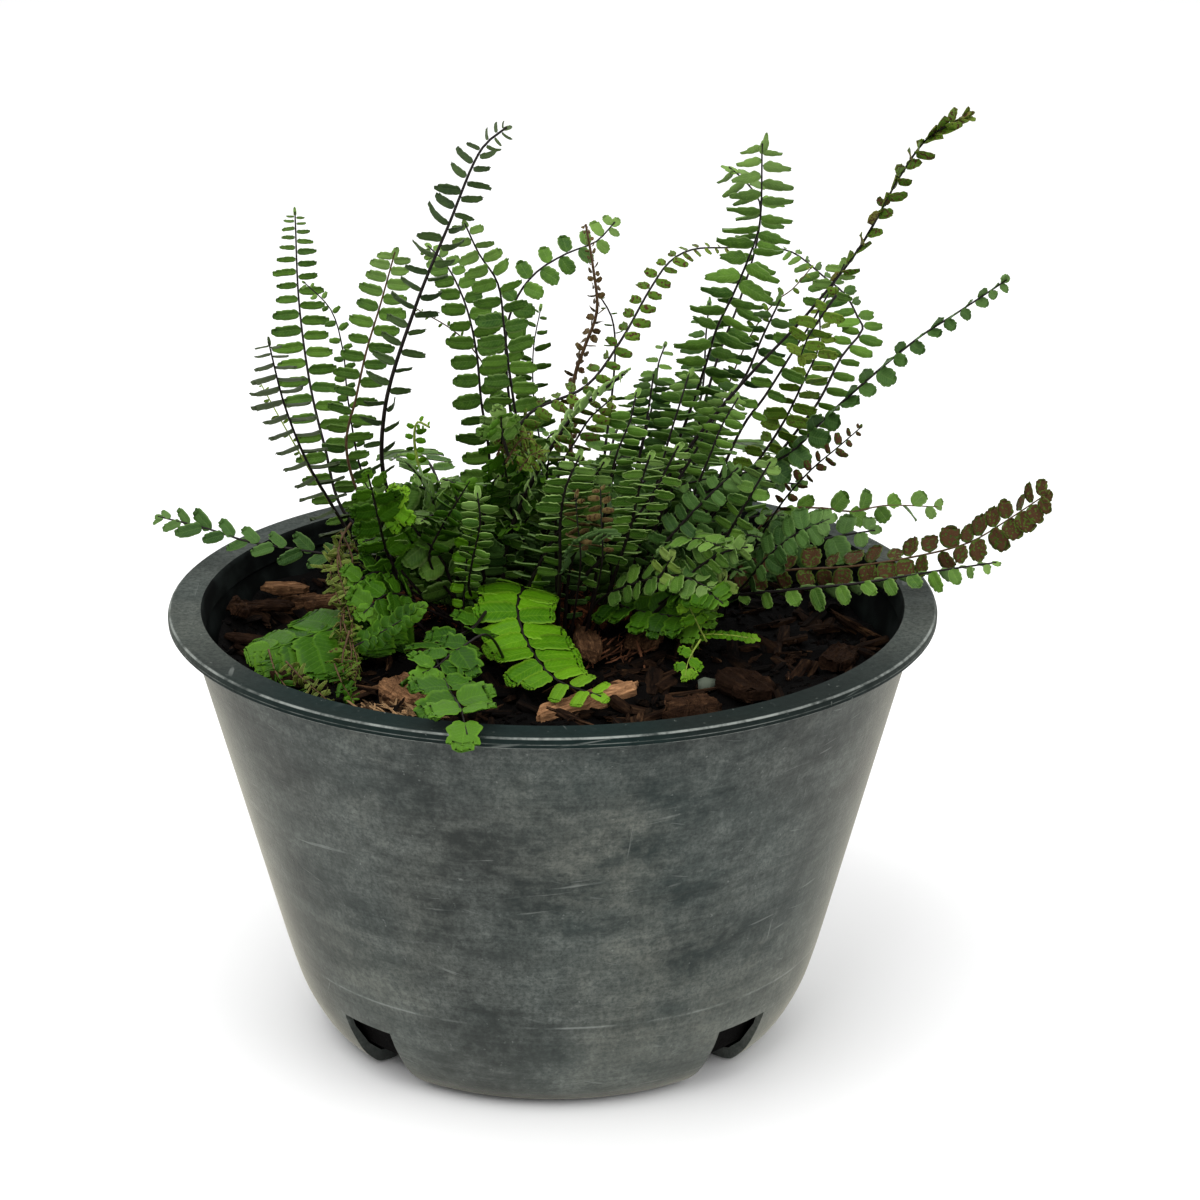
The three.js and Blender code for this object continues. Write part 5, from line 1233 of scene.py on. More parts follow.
def young_frond(o, number):
    """A short frond of the undergrowth: its root, its path and its leaflets, by rule."""
    drawn = random.uniform
    random.seed(o["seed"] * 100 + number)
    turn = 2 * math.pi * (number * 0.618 % 1)
    reach = drawn(0.15, 1)
    root = (
        o["middle"][0] + o["spread"][0] * reach * math.cos(turn),
        o["middle"][1] + o["spread"][1] * reach * math.sin(turn),
    )
    out = Vector((math.cos(turn), math.sin(turn))) * drawn(8, 18)
    way = out + Vector(o["lean"]) * drawn(0.5, 1.3)
    tall = drawn(*o["rise"])
    low = ground_top(*root)
    heights = (0.55, 0.95, drawn(0.95, 1.15))
    path = [root]
    for share, height in zip((0.3, 0.72, 1.15), heights):
        path.append((root[0] + way.x * share, root[1] + way.y * share, low + 4 + tall * height))
    return dict(
        path=path,
        leaf=random.choice(o["leaves"]),
        look=o["looks"][number % len(o["looks"])],
        start=0.1,
        pairs=random.randint(8, 12),
        long=drawn(5, 7),
        wide=drawn(3.4, 4.8),
        twist=drawn(*o["twist"]),
        level=drawn(0.7, 1.0),
        loose=1.6,
        stem=0.6,
        face=(drawn(-0.25, 0.25), drawn(-0.95, -0.6), 0.55),
    )


def build_frond(name, row, tree, leaflets, looks):
    """One frond along its path, with its rib and leaflets, as a plain mesh."""
    o = {**FROND_DEFAULTS, **row}
    for option in ("twist", "fold"):
        if o[option + "_left"] is None:
            o[option + "_left"] = o[option]
    points = frond_path(*o["path"])
    mesh = bpy.data.meshes.new(name + "_path")
    mesh.from_pydata([tuple(p) for p in points], [(i, i + 1) for i in range(len(points) - 1)], [])
    length = path_length(points) / MM
    values = {
        "Leaflet": leaflets[o["leaf"]],
        "Finish": 1 - END_SHARE * o["end"] / length,
        "End Leaf": 1 - LAST_SHARE * o["tip"] * o["long"] / length,
        "Face": Vector(o["face"]).normalized(),
        "Seed": sum(ord(letter) for letter in name),
        "Leaf Material": looks["leaf_" + o["look"]],
        "Rib Material": looks["rib_" + o["rib"]],
    }
    values.update({socket: o[option] * MM for option, socket in LENGTH_SOCKETS.items()})
    values.update({socket: math.radians(o[option]) for option, socket in ANGLE_SOCKETS.items()})
    values.update({socket: o[option] for option, socket in PLAIN_SOCKETS.items()})
    return grown(placed(name + "_path", mesh), tree, values, name + "_leafy")


# Pot

# Noises of its finish: scale, detail, roughness and stretch.
POT_NOISES = {
    "clouds": (24, 5, 0.62, (1, 1, 1.4)),
    "smears": (62, 5, 0.7, (0.6, 0.6, 1.8)),
    "mottle": (210, 4, 0.7),
    "grit": (1000, 3, 0.75),
    "weave": (620, 2, 0.5, (1, 1, 0.12)),
    "level_lines": (260, 2, 0.5, (0.03, 0.03, 5.0)),
    "teal": (14, 3),
    "warm": (19, 4),
    "dots": (700, 2, 0.5),
}

# Worn edges, in millimetres: height, half width, the radii between which they set in, strength.
POT_EDGES = (
    (116.6, 0.3, 98.9, 99.3, 1.0),
    (115.2, 0.16, 98.9, 99.3, 0.5),
    (114.05, 0.22, 98.4, 99, 1.0),
    (112.7, 0.35, 0, 1, 0.7),
)

# Scratches: turn in degrees, scale, and the noise above which they show.
POT_SCRATCHES = ((7, 120, 0.66), (-16, 150, 0.68), (80, 130, 0.72))


def pot_dust(n, seen):
    """How dusty the plastic is: clouds and smears, broken by mottle and grit."""
    smeared = n.times(n.step(seen["smears"], 0.42, 0.66), 0.4)
    dusty = n.times_plus(n.step(seen["clouds"], 0.36, 0.66), 0.42, smeared)
    dusty = n.times_plus(n.step(seen["mottle"], 0.4, 0.7), 0.3, n.plus(dusty, 0.04))
    return n.times(dusty, n.step(seen["grit"], 0.3, 0.66, 0.45, 1.2))


def pot_scratches(n, place):
    """Faint scratches in a few directions, in patches."""
    marks = 0
    for angle, scale, low in POT_SCRATCHES:
        turn = (0, math.radians(angle), 0.3)
        laid = n.out("ShaderNodeMapping", {"Vector": place, "Rotation": turn})
        thin = speckle(n, laid, scale, 2, 0.6, (0.3, 0.3, 7.0))
        here = n.step(speckle(n, place, scale * 0.4, 2), 0.48, 0.66)
        marks = n.most(marks, n.times(n.step(thin, low, low + 0.05), here))
    return marks


def pot_material(settings, name, rim):
    """Dark moulded plastic under cloudy dust, faint scratches and worn edges. The rim has painted shade at
    its front.
    """
    plain = {
        "Specular IOR Level": 0.01 if rim else 0.16,
        "Sheen Weight": 0.02 if rim else 0.5,
        "Sheen Roughness": 0.3,
        "Sheen Tint": (1.0, 0.95, 0.78, 1.0),
    }
    material, n, shader = new_material(name, plain)
    place = object_coordinates(n)
    seen = {key: speckle(n, place, *values) for key, values in POT_NOISES.items()}
    x, y, height = n.make("ShaderNodeSeparateXYZ", {0: place}).outputs
    radius = n.math("SQRT", n.plus(n.math("POWER", x, 2), n.math("POWER", y, 2)))

    def line(middle, half):
        away = n.math("ABSOLUTE", n.minus(height, middle * MM))
        return n.step(away, half * MM, 0.3 * half * MM)

    dusty = pot_dust(n, seen)
    if rim:
        # Painted shade on the rim: its dust fades out towards the front, so the front of the rim is painted
        # darker.
        front = n.step(n.math("DIVIDE", y, radius), -0.1, -0.8, 0.7, 0.0)
        dusty = n.times(n.times_plus(dusty, 0.4, 0.45), front, n.step(seen["grit"], 0.34, 0.62, 0.7, 1.25))
    else:
        dusty = n.plus(dusty, n.step(height, 40 * MM, 6 * MM, 0.0, 0.24))
    base = n.mixed(n.step(seen["teal"], 0.35, 0.65), rgba(settings.plastic), rgba(settings.plastic_teal))
    coloured = n.mixed(n.times(dusty, settings.dust_amount), base, rgba(settings.dust))
    warm = n.times(n.step(seen["warm"], 0.46, 0.7), n.times(dusty, 0.5))
    coloured = n.mixed(warm, coloured, rgba(settings.dust_warm))
    rows = n.times_plus(seen["weave"], 0.5, n.times(seen["level_lines"], 0.5))
    grey = n.out("ShaderNodeCombineColor", {0: rows, 1: rows, 2: rows})
    coloured = n.mixed(0.55, coloured, grey, "SOFT_LIGHT")
    marks = pot_scratches(n, place)
    dots = n.step(seen["dots"], 0.7, 0.78)
    edges = 0
    for middle, half, inner, outer, strength in POT_EDGES:
        worn = n.times(line(middle, half), n.step(radius, inner * MM, outer * MM), strength)
        edges = n.most(edges, worn)
    patchy = n.step(seen["smears"], 0.34, 0.56, 0.12, 1.0)
    broken = n.times(patchy, n.step(seen["mottle"], 0.3, 0.6, 0.2, 1.0))
    seam = n.times(line(POT_SEAM_HEIGHT, 0.4), n.step(seen["smears"], 0.42, 0.6), 0.4)
    for share in (n.times(marks, 0.3), n.times(dots, 0.28), n.times(edges, broken, 0.8), seam):
        coloured = n.mixed(share, coloured, rgba(settings.scuff))
    n.feed(shader.inputs["Base Color"], coloured)
    rough = n.times_plus(dusty, 0.2, n.times_plus(seen["grit"], 0.15, 0.48))
    n.feed(shader.inputs["Roughness"], rough)
    relief = n.times_plus(seen["mottle"], 0.8, n.times_plus(seen["level_lines"], 0.5, seen["grit"]))
    relief = n.times_plus(marks, -0.6, relief)
    n.feed(shader.inputs["Normal"], n.bump(relief, 0.18, 0.0004))
    return material


def inside_material(settings):
    """The same plastic inside the pot, clean, with painted shade: in patches it is darkened to a fifth."""
    plain = {"Roughness": 0.75, "Specular IOR Level": 0.05}
    material, n, shader = new_material("pot_inside", plain)
    tone = n.step(speckle(n, object_coordinates(n), 90, 4), 0.4, 0.7)
    # Painted shade: the plastic darkened to a fifth of its colour, in patches.
    coloured = n.mixed(tone, rgba(tinted(settings.plastic, 0.2)), rgba(settings.plastic))
    n.feed(shader.inputs["Base Color"], coloured)
    return material


def pot_profile():
    """Radius and height of points round the pot's section, in metres, from under it to its floor."""
    wall = [between(WALL_FOOT, WALL_TOP, share) for share in WALL_SHARES]
    section = [*FOOT_CENTRE, *refined(POT_CORNER, CORNER_STEPS), *wall, WALL_TOP, *POT_RIM, *POT_INSIDE]
    scale = RIM_RADIUS / PLAN_RADIUS
    return [(radius * scale, height * POT_HEIGHT / PLAN_HEIGHT) for radius, height in section]


def notch_cutter(azimuth, width, height):
    """A block that cuts one drain notch, from a little under the foot."""
    low = NOTCH_BELOW * MM
    size = Vector((width, NOTCH_SIZE[1] * MM, height + low))
    middle = Vector((0, -(NOTCH_INNER_RADIUS + NOTCH_SIZE[1] / 2) * MM, height / 2 - low / 2))
    turn = Matrix.Rotation(math.radians(azimuth), 3, "Z")
    corners = [
        turn @ (middle + Vector((x * size.x, y * size.y, z * size.z)) / 2)
        for z in (-1, 1)
        for x, y in SQUARE
    ]
    return mesh_object("notch_cutter", corners, BLOCK_FACES, smooth=False)


class FERN_PG_pot(bpy.types.PropertyGroup):
    sides: bpy.props.IntProperty(
        name="Sides", description="Flat sides round the turned wall", default=224, min=24, max=400
    )
    notch_width: bpy.props.FloatProperty(
        name="Notch width", description="Width of a drain notch", default=NOTCH_SIZE[0] * MM, unit="LENGTH"
    )
    notch_height: bpy.props.FloatProperty(
        name="Notch height", description="Height of a drain notch", default=NOTCH_SIZE[2] * MM, unit="LENGTH"
    )
    plastic: bpy.props.FloatVectorProperty(
        name="Plastic", description="Clean plastic", default=(0.011, 0.0145, 0.0135), subtype="COLOR"
    )
    plastic_teal: bpy.props.FloatVectorProperty(
        name="Teal plastic",
        description="Plastic where it looks greener",
        default=(0.009, 0.0165, 0.0155),
        subtype="COLOR",
    )
    dust: bpy.props.FloatVectorProperty(
        name="Dust", description="Grey dust on the wall", default=(0.15, 0.165, 0.15), subtype="COLOR"
    )
    dust_warm: bpy.props.FloatVectorProperty(
        name="Warm dust", description="Dust with soil in it", default=(0.13, 0.13, 0.105), subtype="COLOR"
    )
    scuff: bpy.props.FloatVectorProperty(
        name="Scuff", description="Scratches and worn edges", default=(0.26, 0.28, 0.26), subtype="COLOR"
    )
    dust_amount: bpy.props.FloatProperty(
        name="Dust amount", description="How much dust shows", default=0.62, min=0, max=1, subtype="FACTOR"
    )


class FERN_OT_pot(bpy.types.Operator):
    """Turns the pot, with its rim, and cuts the drain notches"""

    bl_idname = "fern.pot"
    bl_label = "Pot"

    def execute(self, context):
        settings = context.scene.fern_pot
        pot = mesh_object("pot_turned", *turned(pot_profile(), settings.sides))
        cutters = [notch_cutter(turn, settings.notch_width, settings.notch_height) for turn in NOTCH_AZIMUTHS]
        for cutter in cutters:
            cut = pot.modifiers.new("Notch", "BOOLEAN")
            cut.operation = "DIFFERENCE"
            cut.solver = "EXACT"
            cut.object = cutter
        made = applied(pot, "pot_shell")
        for cutter in cutters:
            bpy.data.objects.remove(cutter)
        made.data.materials.clear()
        wall, rim = pot_material(settings, "pot_plastic", False), pot_material(settings, "pot_rim", True)
        for material in (wall, inside_material(settings), rim):
            made.data.materials.append(material)
        for face in made.data.polygons:
            out = Vector((face.center.x, face.center.y, 0)).normalized()
            floor = face.normal.z > 0.3 and face.center.z < FLOOR_BELOW * MM
            if floor or face.normal.dot(out) < -0.3:
                face.material_index = 1
            elif face.center.z > RIM_UNDERSIDE * MM:
                face.material_index = 2
        made.data.set_sharp_from_angle(angle=math.radians(SHARP_ANGLE))
        finished(made, record_slot("pot"), "pot")
        return {"FINISHED"}


# Potting mix, bark and crown

def lumps(x, y, size, seed=0.0):
    """Smooth noise from -1 to 1 with lumps of a size, in millimetres."""
    return noise.fractal(Vector((x / size, y / size, seed)), 1.0, 2.0, 3)


def chip_cover(x, y):
    """1 where small pieces may lie and 0 over the large bark chips, in millimetres."""
    for (cx, cy), length, width, _, turn, _, _ in CHIPS.values():
        away = Matrix.Rotation(-math.radians(turn), 2) @ Vector((x - cx, y - cy))
        if abs(away.x) < length * 0.5 + 1 and abs(away.y) < width * 0.5 + 1:
            return 0.0
    return 1.0


def everywhere(x, y, z):
    return 1.0


def grained(made, tone=None):
    """Keeps the piece's own coordinates for its fibres, and perhaps how light its wood is."""
    mesh = made.data
    grain = mesh.attributes.new("grain", "FLOAT_VECTOR", "POINT")
    grain.data.foreach_set("vector", [c for vertex in mesh.vertices for c in vertex.co])
    if tone is not None:
        light = mesh.attributes.new("chip_tone", "FLOAT", "POINT")
        light.data.foreach_set("value", [tone] * len(mesh.vertices))
    return made


def strewn(name, surface, cover, kinds, material, density, sizes, tilt, lift, seed, turn=0.0, spread=math.pi):
    """Small pieces over a copy of a surface, as one plain object. cover takes millimetres."""
    carrier = surface.copy()
    carrier.data = surface.data.copy()
    share = carrier.data.attributes.new("cover", "FLOAT", "POINT")
    share.data.foreach_set("value", [cover(*(v.co / MM)) for v in carrier.data.vertices])
    bpy.context.scene.collection.objects.link(carrier)
    values = dict(zip(("First Kind", "Second Kind", "Third Kind"), kinds))
    values.update({"Density": float(density), "Smallest": sizes[0], "Largest": sizes[1], "Tilt": tilt})
    values.update({"Lift": lift * MM, "Turn": turn, "Turn Spread": spread})
    values.update({"Seed": seed, "Material": material})
    tree = bpy.data.node_groups.get("Strewn Pieces") or scatter_tree()
    made = grown(carrier, tree, values, name)
    for kind in kinds:
        bpy.data.objects.remove(kind)
    return made


# A small piece's outline across its length, as shares of its width and thickness.
CHIP_RING = [(-0.5, -0.3), (-0.2, -0.5), (0.42, -0.46), (0.5, 0.22), (0.1, 0.5), (-0.44, 0.36)]
CHIP_STEPS = 3


def small_chip(name, size, seed, bent=0.0):
    """A rough splinter or granule with a few dozen faces."""
    random.seed(seed)
    points = []
    for i in range(CHIP_STEPS + 1):
        t = i / CHIP_STEPS
        taper = 0.5 + 0.5 * math.sin(math.pi * (0.15 + 0.7 * t))
        for u, v in CHIP_RING:
            wild = 0.78 + 0.44 * random.random()
            points.append(Vector((
                (t - 0.5 + 0.06 * random.uniform(-1, 1)) * size[0],
                u * size[1] * taper * wild,
                v * size[2] * taper * wild + bent * size[0] * (t - 0.5) ** 2,
            )))
    count = len(CHIP_RING)
    faces = []
    for i in range(CHIP_STEPS):
        for j in range(count):
            a, b = i * count + j, i * count + (j + 1) % count
            faces.append((a, a + count, b + count, b))
    faces.append(tuple(range(count)))
    faces.append(tuple(CHIP_STEPS * count + j for j in reversed(range(count))))
    return grained(mesh_object(name, [p * MM for p in points], faces, smooth=False))


def three_kinds(name, size, seed, step=1, bent=0.0):
    """Three unlike small pieces of a size, bent down, straight and bent up."""
    return [small_chip(f"{name}_kind_{k}", size, seed + step * k, bent * (k - 1)) for k in range(3)]


def mix_shape():
    """Points, in metres, and faces of the mix: a lumpy top with a berm, then its side and bottom."""
    points = [Vector((0, 0, mix_top(0, 0)))]
    for ring in range(1, MIX_RINGS + 1):
        radius = MIX_REACH * ring / MIX_RINGS
        for x, y in [(radius * a, radius * b) for a, b in around(MIX_SIDES)]:
            lift = 1.5 * lumps(x, y, 11) + 0.7 * lumps(x, y, 3.5, 4)
            points.append(Vector((x, y, mix_top(x, y) - 0.8 + lift + berm(x, y))))
    for radius, height in MIX_SIDE:
        wide = radius - MIX_GAP
        points += [Vector((wide * a, wide * b, height)) for a, b in around(MIX_SIDES)]
    points.append(Vector((0, 0, MIX_SIDE[-1][1])))
    faces = [(face[0], *face[:0:-1]) for face in ring_faces(MIX_RINGS + len(MIX_SIDE), MIX_SIDES)]
    return [p * MM for p in points], faces


def mix_cover(name, size):
    """How thickly a layer lies over a point of the mix: in patches, but for the granules."""
    def cover(x, y, z):
        if math.hypot(x, y) > MIX_REACH - size[0] * 0.4:
            return 0.0
        patchy = 1.0 if name == "mix_granules" else max(0.0, 0.75 + 1.4 * lumps(x, y, 16, len(name)))
        return chip_cover(x, y) * patchy

    return cover


class FERN_PG_mix(bpy.types.PropertyGroup):
    granules: bpy.props.FloatProperty(
        name="Granules", description="Fine pieces to the square metre", default=97500, min=0
    )
    chips: bpy.props.FloatProperty(
        name="Chips", description="Chips to the square metre", default=34000, min=0
    )
    slivers: bpy.props.FloatProperty(
        name="Slivers", description="Pale slivers to the square metre", default=9000, min=0
    )
    seed: bpy.props.IntProperty(name="Seed", description="Start of the random order", default=5)
    # The darkest mix is near black: partly the damp mix's own colour, partly painted shade for the gaps
    # between the pieces and under the rim and fronds.
    dark: bpy.props.FloatVectorProperty(
        name="Damp mix and painted shade", description="Darkest mix", default=(0.0012, 0.0009, 0.0008), subtype="COLOR"
    )
    brown: bpy.props.FloatVectorProperty(
        name="Brown", description="Drier brown wood", default=(0.04, 0.018, 0.009), subtype="COLOR"
    )
    pale: bpy.props.FloatVectorProperty(
        name="Pale wood", description="Freshly split wood", default=(0.4, 0.21, 0.1), subtype="COLOR"
    )


class FERN_OT_mix(bpy.types.Operator):
    """Fills the pot with mix and strews granules, chips and slivers over it"""

    bl_idname = "fern.mix"
    bl_label = "Potting mix"

    def execute(self, context):
        settings = context.scene.fern_mix
        dark, brown, pale = settings.dark, settings.brown, settings.pale
        even = (1, 1, 1)
        points, faces = mix_shape()
        bed = grained(mesh_object("mix_bed", points, faces))
        # The bed is near black: damp mix, with painted shade for the gaps between the pieces strewn on it.
        bed.data.materials.append(wood_material("mix_damp", dark, dark, tinted(brown, 0.12), even))
        surface = bed.copy()
        surface.data = bpy.data.meshes.new("mix_surface")
        top = MIX_RINGS * MIX_SIDES + 1
        top_faces = [face for face in faces if max(face) < top]
        surface.data.from_pydata([tuple(p) for p in points[:top]], [], top_faces)
        finished(bed, record_slot("potting_mix"), "potting_mix")
        looks = {
            "mix_granules": (settings.granules, ("mix_granule", dark, dark, tinted(brown, 0.3))),
            "mix_chips": (settings.chips, ("mix_chip", dark, tinted(brown, 0.26), tinted(pale, 0.1))),
            "mix_slivers": (settings.slivers, ("mix_sliver", dark, tinted(brown, 0.35), tinted(pale, 0.3))),
        }
        for name, layer in MIX_LAYERS.items():
            density, colours = looks[name]
            kinds = three_kinds(name, layer["size"], len(name), 11, layer["bent"])
            made = strewn(
                name, surface, mix_cover(name, layer["size"]), kinds, wood_material(*colours), density,
                layer["sizes"], layer["tilt"], layer["lift"], settings.seed,
            )
            finished(made, record_slot("potting_mix"))
        bpy.data.objects.remove(surface)
        pebble = small_chip("mix_pebble", PEBBLE_SIZE, 21)
        place = Vector((*PEBBLE_PLACE, mix_top(*PEBBLE_PLACE) + PEBBLE_LIFT)) * MM
        pebble.data.transform(Matrix.Translation(place))
        pebble.data.shade_smooth()
        stone = wood_material("pebble_pale", PEBBLE_STONE, PEBBLE_STONE, PEBBLE_STONE, even, 0.2, 0.2)
        pebble.data.materials.append(stone)
        finished(pebble, record_slot("potting_mix"))
        return {"FINISHED"}


# Rows of points along a split slab, and across it.
SLAB_COLUMNS = 34
SLAB_ROWS = 14


def edge_at(line, u):
    """Where an edge of the slab's outline is at a share of its length."""
    for (u0, v0), (u1, v1) in zip(line, line[1:]):
        if u <= u1:
            return v0 + (v1 - v0) * (u - u0) / (u1 - u0)
    return line[-1][1]


def slab(name, length, width, thickness, seed):
    """A split slab: the solid's six-sided outline with frayed ends and sharp ridges along it."""
    columns, rows = SLAB_COLUMNS, SLAB_ROWS

    def rough(u, v, row):
        return noise.noise(Vector((u, v, seed * 7.3 + row)))

    points = []
    for face in (1, -1):
        for i in range(columns + 1):
            u = (i / columns - 0.5) * 0.97
            low = edge_at(SLAB_LOWER, u) * (1 + 0.3 * rough(u * 9, 1.5, 1))
            high = edge_at(SLAB_UPPER, u) * (1 + 0.3 * rough(u * 9, 4.5, 1))
            for j in range(rows + 1):
                v = low + (high - low) * (j / rows)
                fray = 0.1 * rough(0.5, v * 16, 2) * abs(2 * u) ** 3
                ridge = 0.55 * rough(u * 1.6, v * width * 0.9, 3) + 0.3 * rough(u * 4, v * width * 2.4, 4)
                ridge += 0.3 * math.copysign(0.5, rough(u * 2.2, v * width * 0.5, 5))
                side = 0.62 if j in (0, rows) else 1.0
                tall = thickness * (0.42 + 0.4 * ridge) * side * (1 - 0.45 * abs(2 * u) ** 4)
                point = (length * (u + fray), width * v, face * max(tall, 0.12 * thickness))
                points.append(Vector(point) * MM)

    def at(face, i, j):
        return (face * (columns + 1) + i) * (rows + 1) + j

    faces = []
    for i in range(columns):
        for j in range(rows):
            faces.append((at(0, i, j), at(0, i + 1, j), at(0, i + 1, j + 1), at(0, i, j + 1)))
            faces.append((at(1, i, j), at(1, i, j + 1), at(1, i + 1, j + 1), at(1, i + 1, j)))
        faces.append((at(0, i, 0), at(1, i, 0), at(1, i + 1, 0), at(0, i + 1, 0)))
        faces.append((at(0, i, rows), at(0, i + 1, rows), at(1, i + 1, rows), at(1, i, rows)))
    for j in range(rows):
        faces.append((at(0, 0, j), at(0, 0, j + 1), at(1, 0, j + 1), at(1, 0, j)))
        faces.append((at(0, columns, j), at(1, columns, j), at(1, columns, j + 1), at(0, columns, j + 1)))
    return mesh_object(name, points, faces, smooth=False)


def laid_chip(name, row, number, settings):
    """A bark chip with its own wood, turned, tilted and laid in its place."""
    (x, y, *z), length, width, thickness, turn, tilt, light = row
    made = grained(slab(name + "_rough", length, width, thickness, number), light)
    height = z[0] if z else mix_top(x, y) + thickness * 0.3
    made.data.transform(
        Matrix.Translation(Vector((x, y, height)) * MM)
        @ Matrix.Rotation(math.radians(turn), 4, "Z")
        @ Matrix.Rotation(math.radians(tilt / 2), 4, "Y")
        @ Matrix.Rotation(math.radians(tilt), 4, "X")
    )
    pale = tinted(settings.pale, 0.2 + light ** 1.5)
    middle = between(settings.brown, pale, 0.45 * light)
    shadow = tinted(settings.brown, 0.2 + 0.5 * light)
    made.data.materials.append(wood_material(name + "_wood", shadow, middle, pale, (0.1, 1, 1), 0.9, 0.9))
    return made


def fibre_clump(name, row, seed):
    """A clump of frayed fibres on a low round patch of the mix."""
    middle, reach, turn, density, lift, colour = row
    sides = 24
    spots = [(middle[0] + reach * a, middle[1] + reach * b) for a, b in around(sides)]
    points = [Vector((*middle, mix_top(*middle) + lift)) * MM]
    points += [Vector((x, y, mix_top(x, y) + 0.4)) * MM for x, y in spots]
    faces = [(0, 1 + i, 1 + (i + 1) % sides) for i in range(sides)]
    patch = mesh_object(name + "_patch", points, faces)
    kinds = three_kinds(name, FIBRE_SIZE, 51, bent=0.16)
    material = wood_material(name + "_wood", tinted(colour, 0.15), colour, tinted(colour, 1.8))
    way = math.radians(turn)
    made = strewn(name, patch, everywhere, kinds, material, density, (0.4, 1.2), 0.35, 0.3, seed, way, 0.75)
    bpy.data.objects.remove(patch)
    return made


class FERN_OT_bark(bpy.types.Operator):
    """Lays the large bark chips in the mix"""

    bl_idname = "fern.bark"
    bl_label = "Bark chips"

    def execute(self, context):
        settings = context.scene.fern_mix
        for number, (name, row) in enumerate({**CHIPS, **LOOSE_CHIPS}.items()):
            made = laid_chip(name, row, number, settings)
            if name in CHIPS:
                finished(made, record_slot(name), name)
            else:
                finished(made, record_slot("bark_back_left"))
        for name, row in FIBRE_CLUMPS.items():
            finished(fibre_clump(name, row, settings.seed + 7), record_slot("bark_fibrous_left"))
        return {"FINISHED"}


class FERN_OT_crown(bpy.types.Operator):
    """Builds the scaly rhizome crown that the stems rise from"""

    bl_idname = "fern.crown"
    bl_label = "Rhizome crown"

    def execute(self, context):
        settings = context.scene.fern_mix
        rows, sides = 22, 56
        profile = [(math.sin(math.pi * i / rows), -math.cos(math.pi * i / rows)) for i in range(rows + 1)]
        points, faces = turned(profile, sides)
        surface = []
        for p in points:
            lump = 1 + 0.07 * noise.fractal(p * 3.0, 1.0, 2.0, 3)
            surface.append(CROWN_CENTRE + p * CROWN_RADII * min(1.0, lump * 0.96))
        body = grained(mesh_object("rhizome_scaly", surface, faces))
        rust = CROWN_RUST
        material = wood_material("rhizome_rust", tinted(rust, 0.25), rust, tinted(rust, 2.2))
        body.data.materials.append(material)
        bare_below = (CROWN_CENTRE.z + 0.2 * CROWN_RADII.z) / MM

        def cover(x, y, z):
            return float(z > bare_below)

        kinds = three_kinds("scale", SCALE_SIZE, 31, bent=0.1)
        scales = strewn(
            "rhizome_scales", body, cover, kinds, material, SCALES_DENSITY, (0.5, 1.1), 0.8, 0.2,
            settings.seed + 3,
        )
        finished(body, record_slot("rhizome_crown"), "rhizome_crown")
        finished(scales, record_slot("rhizome_crown"))
        return {"FINISHED"}


class FERN_PG_fronds(bpy.types.PropertyGroup):
    fullness: bpy.props.FloatProperty(
        name="Fullness", description="Share of the leaflets that each frond gets", default=1.0, min=0.1, max=2
    )
    leaf_scale: bpy.props.FloatProperty(
        name="Leaflet size", description="Size of every leaflet", default=1.0, min=0.5, max=1.5
    )


class FERN_OT_fronds(bpy.types.Operator):
    """Grows every frond along its path, with its rib and its two rows of leaflets"""

    bl_idname = "fern.fronds"
    bl_label = "Fronds"

    def execute(self, context):
        settings = context.scene.fern_fronds
        leaflets = {
            name: leaflet_object("leaflet_" + name, dict(zip(LEAFLET_FACTS, kind)))
            for name, kind in LEAFLET_KINDS.items()
        }
        shared = (frond_tree(), leaflets, leaf_materials())
        for name, row in FRONDS.items():
            o = {**FROND_DEFAULTS, **row}
            o["pairs"] = max(1, round(o["pairs"] * settings.fullness))
            o["long"] *= settings.leaf_scale
            o["wide"] *= settings.leaf_scale
            finished(build_frond(name, o, *shared), record_slot(name), name)
        for name, row in UNDERGROWTH.items():
            young = [build_frond(f"{name}_{i}", young_frond(row, i), *shared) for i in range(row["count"])]
            finished(joined(young, name), "frond_green")
        for name, row in STRANDS.items():
            strands = []
            for i, path in enumerate(row["path"]):
                strand = {**FROND_DEFAULTS, **row, "path": path}
                if row.get("rooted"):
                    strand.update(grounded(path, strand["start"]))
                if "looks" in row:
                    strand["look"] = row["looks"][i % len(row["looks"])]
                strands.append(build_frond(f"{name}_{i}", strand, *shared))
            finished(joined(strands, name), "frond_green")
        for leaflet in leaflets.values():
            bpy.data.objects.remove(leaflet)
        return {"FINISHED"}


# Stage, in metres, but for the camera's sensor and lens in millimetres

FLOOR_REACH = 6.0
FLOOR_HEIGHT = -0.0004

# Square lights: place, size and the setting of their power.
LIGHTS = {
    "key_light": ((-0.35, -0.55, 1.25), 1.1, "key"),
    "fill_light": ((0.9, -0.7, 0.8), 1.0, "fill"),
    "back_light": ((0.1, 0.9, 1.1), 1.2, "fill"),
}
LIGHT_AIM = (0, 0, 0.13)
CAMERA_PLACE = (0, -1.0181, 0.4765)
CAMERA_AIM = (0.01227, 0, 0.1165)
CAMERA_LENS = dict(sensor_width=36, lens=124.23, clip_start=0.05, clip_end=40)


def aimed(name, data, place, target):
    """A light or a camera at its place, turned to a target."""
    made = placed(name, data)
    made.location = place
    made.rotation_euler = (Vector(target) - Vector(place)).to_track_quat("-Z", "Y").to_euler()
    return made


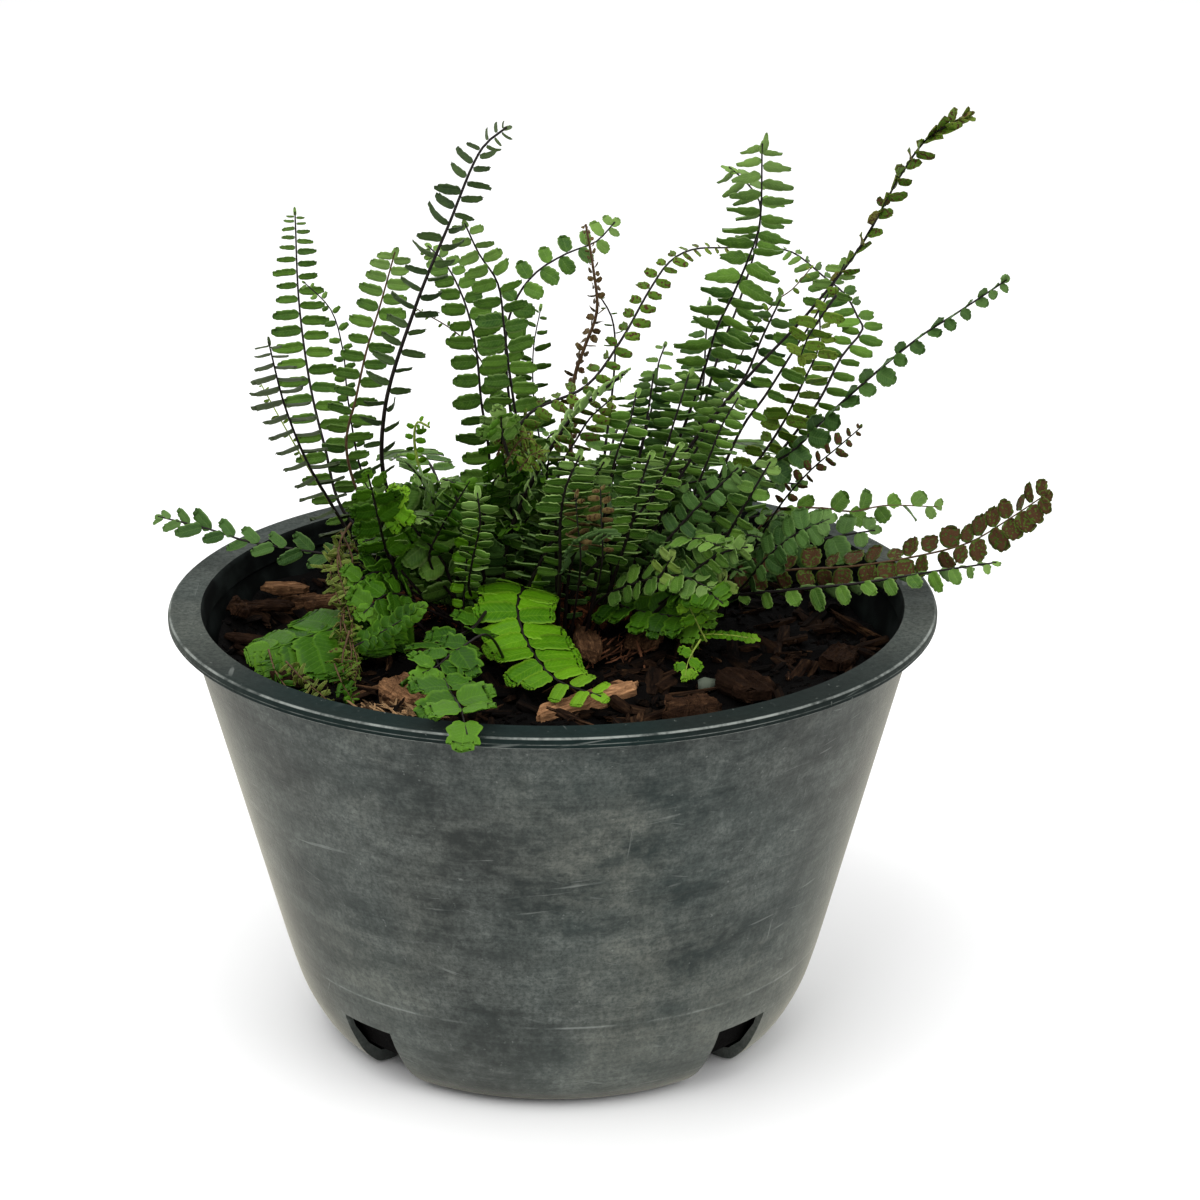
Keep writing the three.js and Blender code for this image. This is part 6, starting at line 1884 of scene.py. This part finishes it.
class FERN_PG_stage(bpy.types.PropertyGroup):
    floor: bpy.props.FloatVectorProperty(
        name="Floor", description="Pale floor", default=(0.86, 0.86, 0.86), subtype="COLOR"
    )
    sky: bpy.props.FloatProperty(name="Sky", description="Strength of the even light", default=0.85, min=0)
    key: bpy.props.FloatProperty(
        name="Key", description="Key light", default=14.0, min=0, subtype="POWER", unit="POWER"
    )
    fill: bpy.props.FloatProperty(
        name="Fill", description="Fill light", default=6.0, min=0, subtype="POWER", unit="POWER"
    )


class FERN_OT_stage(bpy.types.Operator):
    """Sets the floor, the soft lights and the camera"""

    bl_idname = "fern.stage"
    bl_label = "Stage"

    def execute(self, context):
        scene = context.scene
        settings = scene.fern_stage
        corners = [Vector((x * FLOOR_REACH, y * FLOOR_REACH, FLOOR_HEIGHT)) for x, y in SQUARE]
        floor = mesh_object("floor", corners, [(0, 1, 2, 3)], smooth=False)
        plain = {"Base Color": rgba(settings.floor), "Roughness": 0.9, "Specular IOR Level": 0.1}
        floor.data.materials.append(new_material("floor_pale", plain)[0])
        scene.world = scene.world or bpy.data.worlds.new("World")
        scene.world.use_nodes = True
        sky = scene.world.node_tree.nodes["Background"]
        sky.inputs["Color"].default_value = (1, 1, 1, 1)
        sky.inputs["Strength"].default_value = settings.sky
        for name, (place, size, power) in LIGHTS.items():
            data = bpy.data.lights.new(name, "AREA")
            data.shape = "SQUARE"
            data.size = size
            data.energy = getattr(settings, power)
            aimed(name, data, place, LIGHT_AIM)
        data = bpy.data.cameras.new("camera")
        for key, value in CAMERA_LENS.items():
            setattr(data, key, value)
        scene.camera = aimed("camera", data, CAMERA_PLACE, CAMERA_AIM)
        scene.view_settings.view_transform = "Standard"
        return {"FINISHED"}


OPERATORS = (FERN_OT_pot, FERN_OT_mix, FERN_OT_bark, FERN_OT_crown, FERN_OT_fronds, FERN_OT_stage)
SETTINGS = {
    "fern_pot": FERN_PG_pot,
    "fern_mix": FERN_PG_mix,
    "fern_fronds": FERN_PG_fronds,
    "fern_stage": FERN_PG_stage,
}


class FERN_PT_panel(bpy.types.Panel):
    """The fern's pieces and their settings"""

    bl_idname = "FERN_PT_panel"
    bl_label = "Potted Fern"
    bl_space_type = "VIEW_3D"
    bl_region_type = "UI"
    bl_category = "Fern"

    def draw(self, context):
        for operator in OPERATORS:
            self.layout.operator(operator.bl_idname)
        for name, group in SETTINGS.items():
            box = self.layout.box()
            for field in group.__annotations__:
                box.prop(getattr(context.scene, name), field)


def register():
    for group in SETTINGS.values():
        bpy.utils.register_class(group)
    for name, group in SETTINGS.items():
        setattr(bpy.types.Scene, name, bpy.props.PointerProperty(type=group))
    for operator in OPERATORS:
        bpy.utils.register_class(operator)
    bpy.utils.register_class(FERN_PT_panel)


def unregister():
    bpy.utils.unregister_class(FERN_PT_panel)
    for operator in reversed(OPERATORS):
        bpy.utils.unregister_class(operator)
    for name in SETTINGS:
        delattr(bpy.types.Scene, name)
    for group in SETTINGS.values():
        bpy.utils.unregister_class(group)


def main():
    register()
    bpy.ops.fern.stage()
    bpy.ops.fern.pot()
    bpy.ops.fern.mix()
    bpy.ops.fern.bark()
    bpy.ops.fern.crown()
    bpy.ops.fern.fronds()


if __name__ == "__main__":
    main()
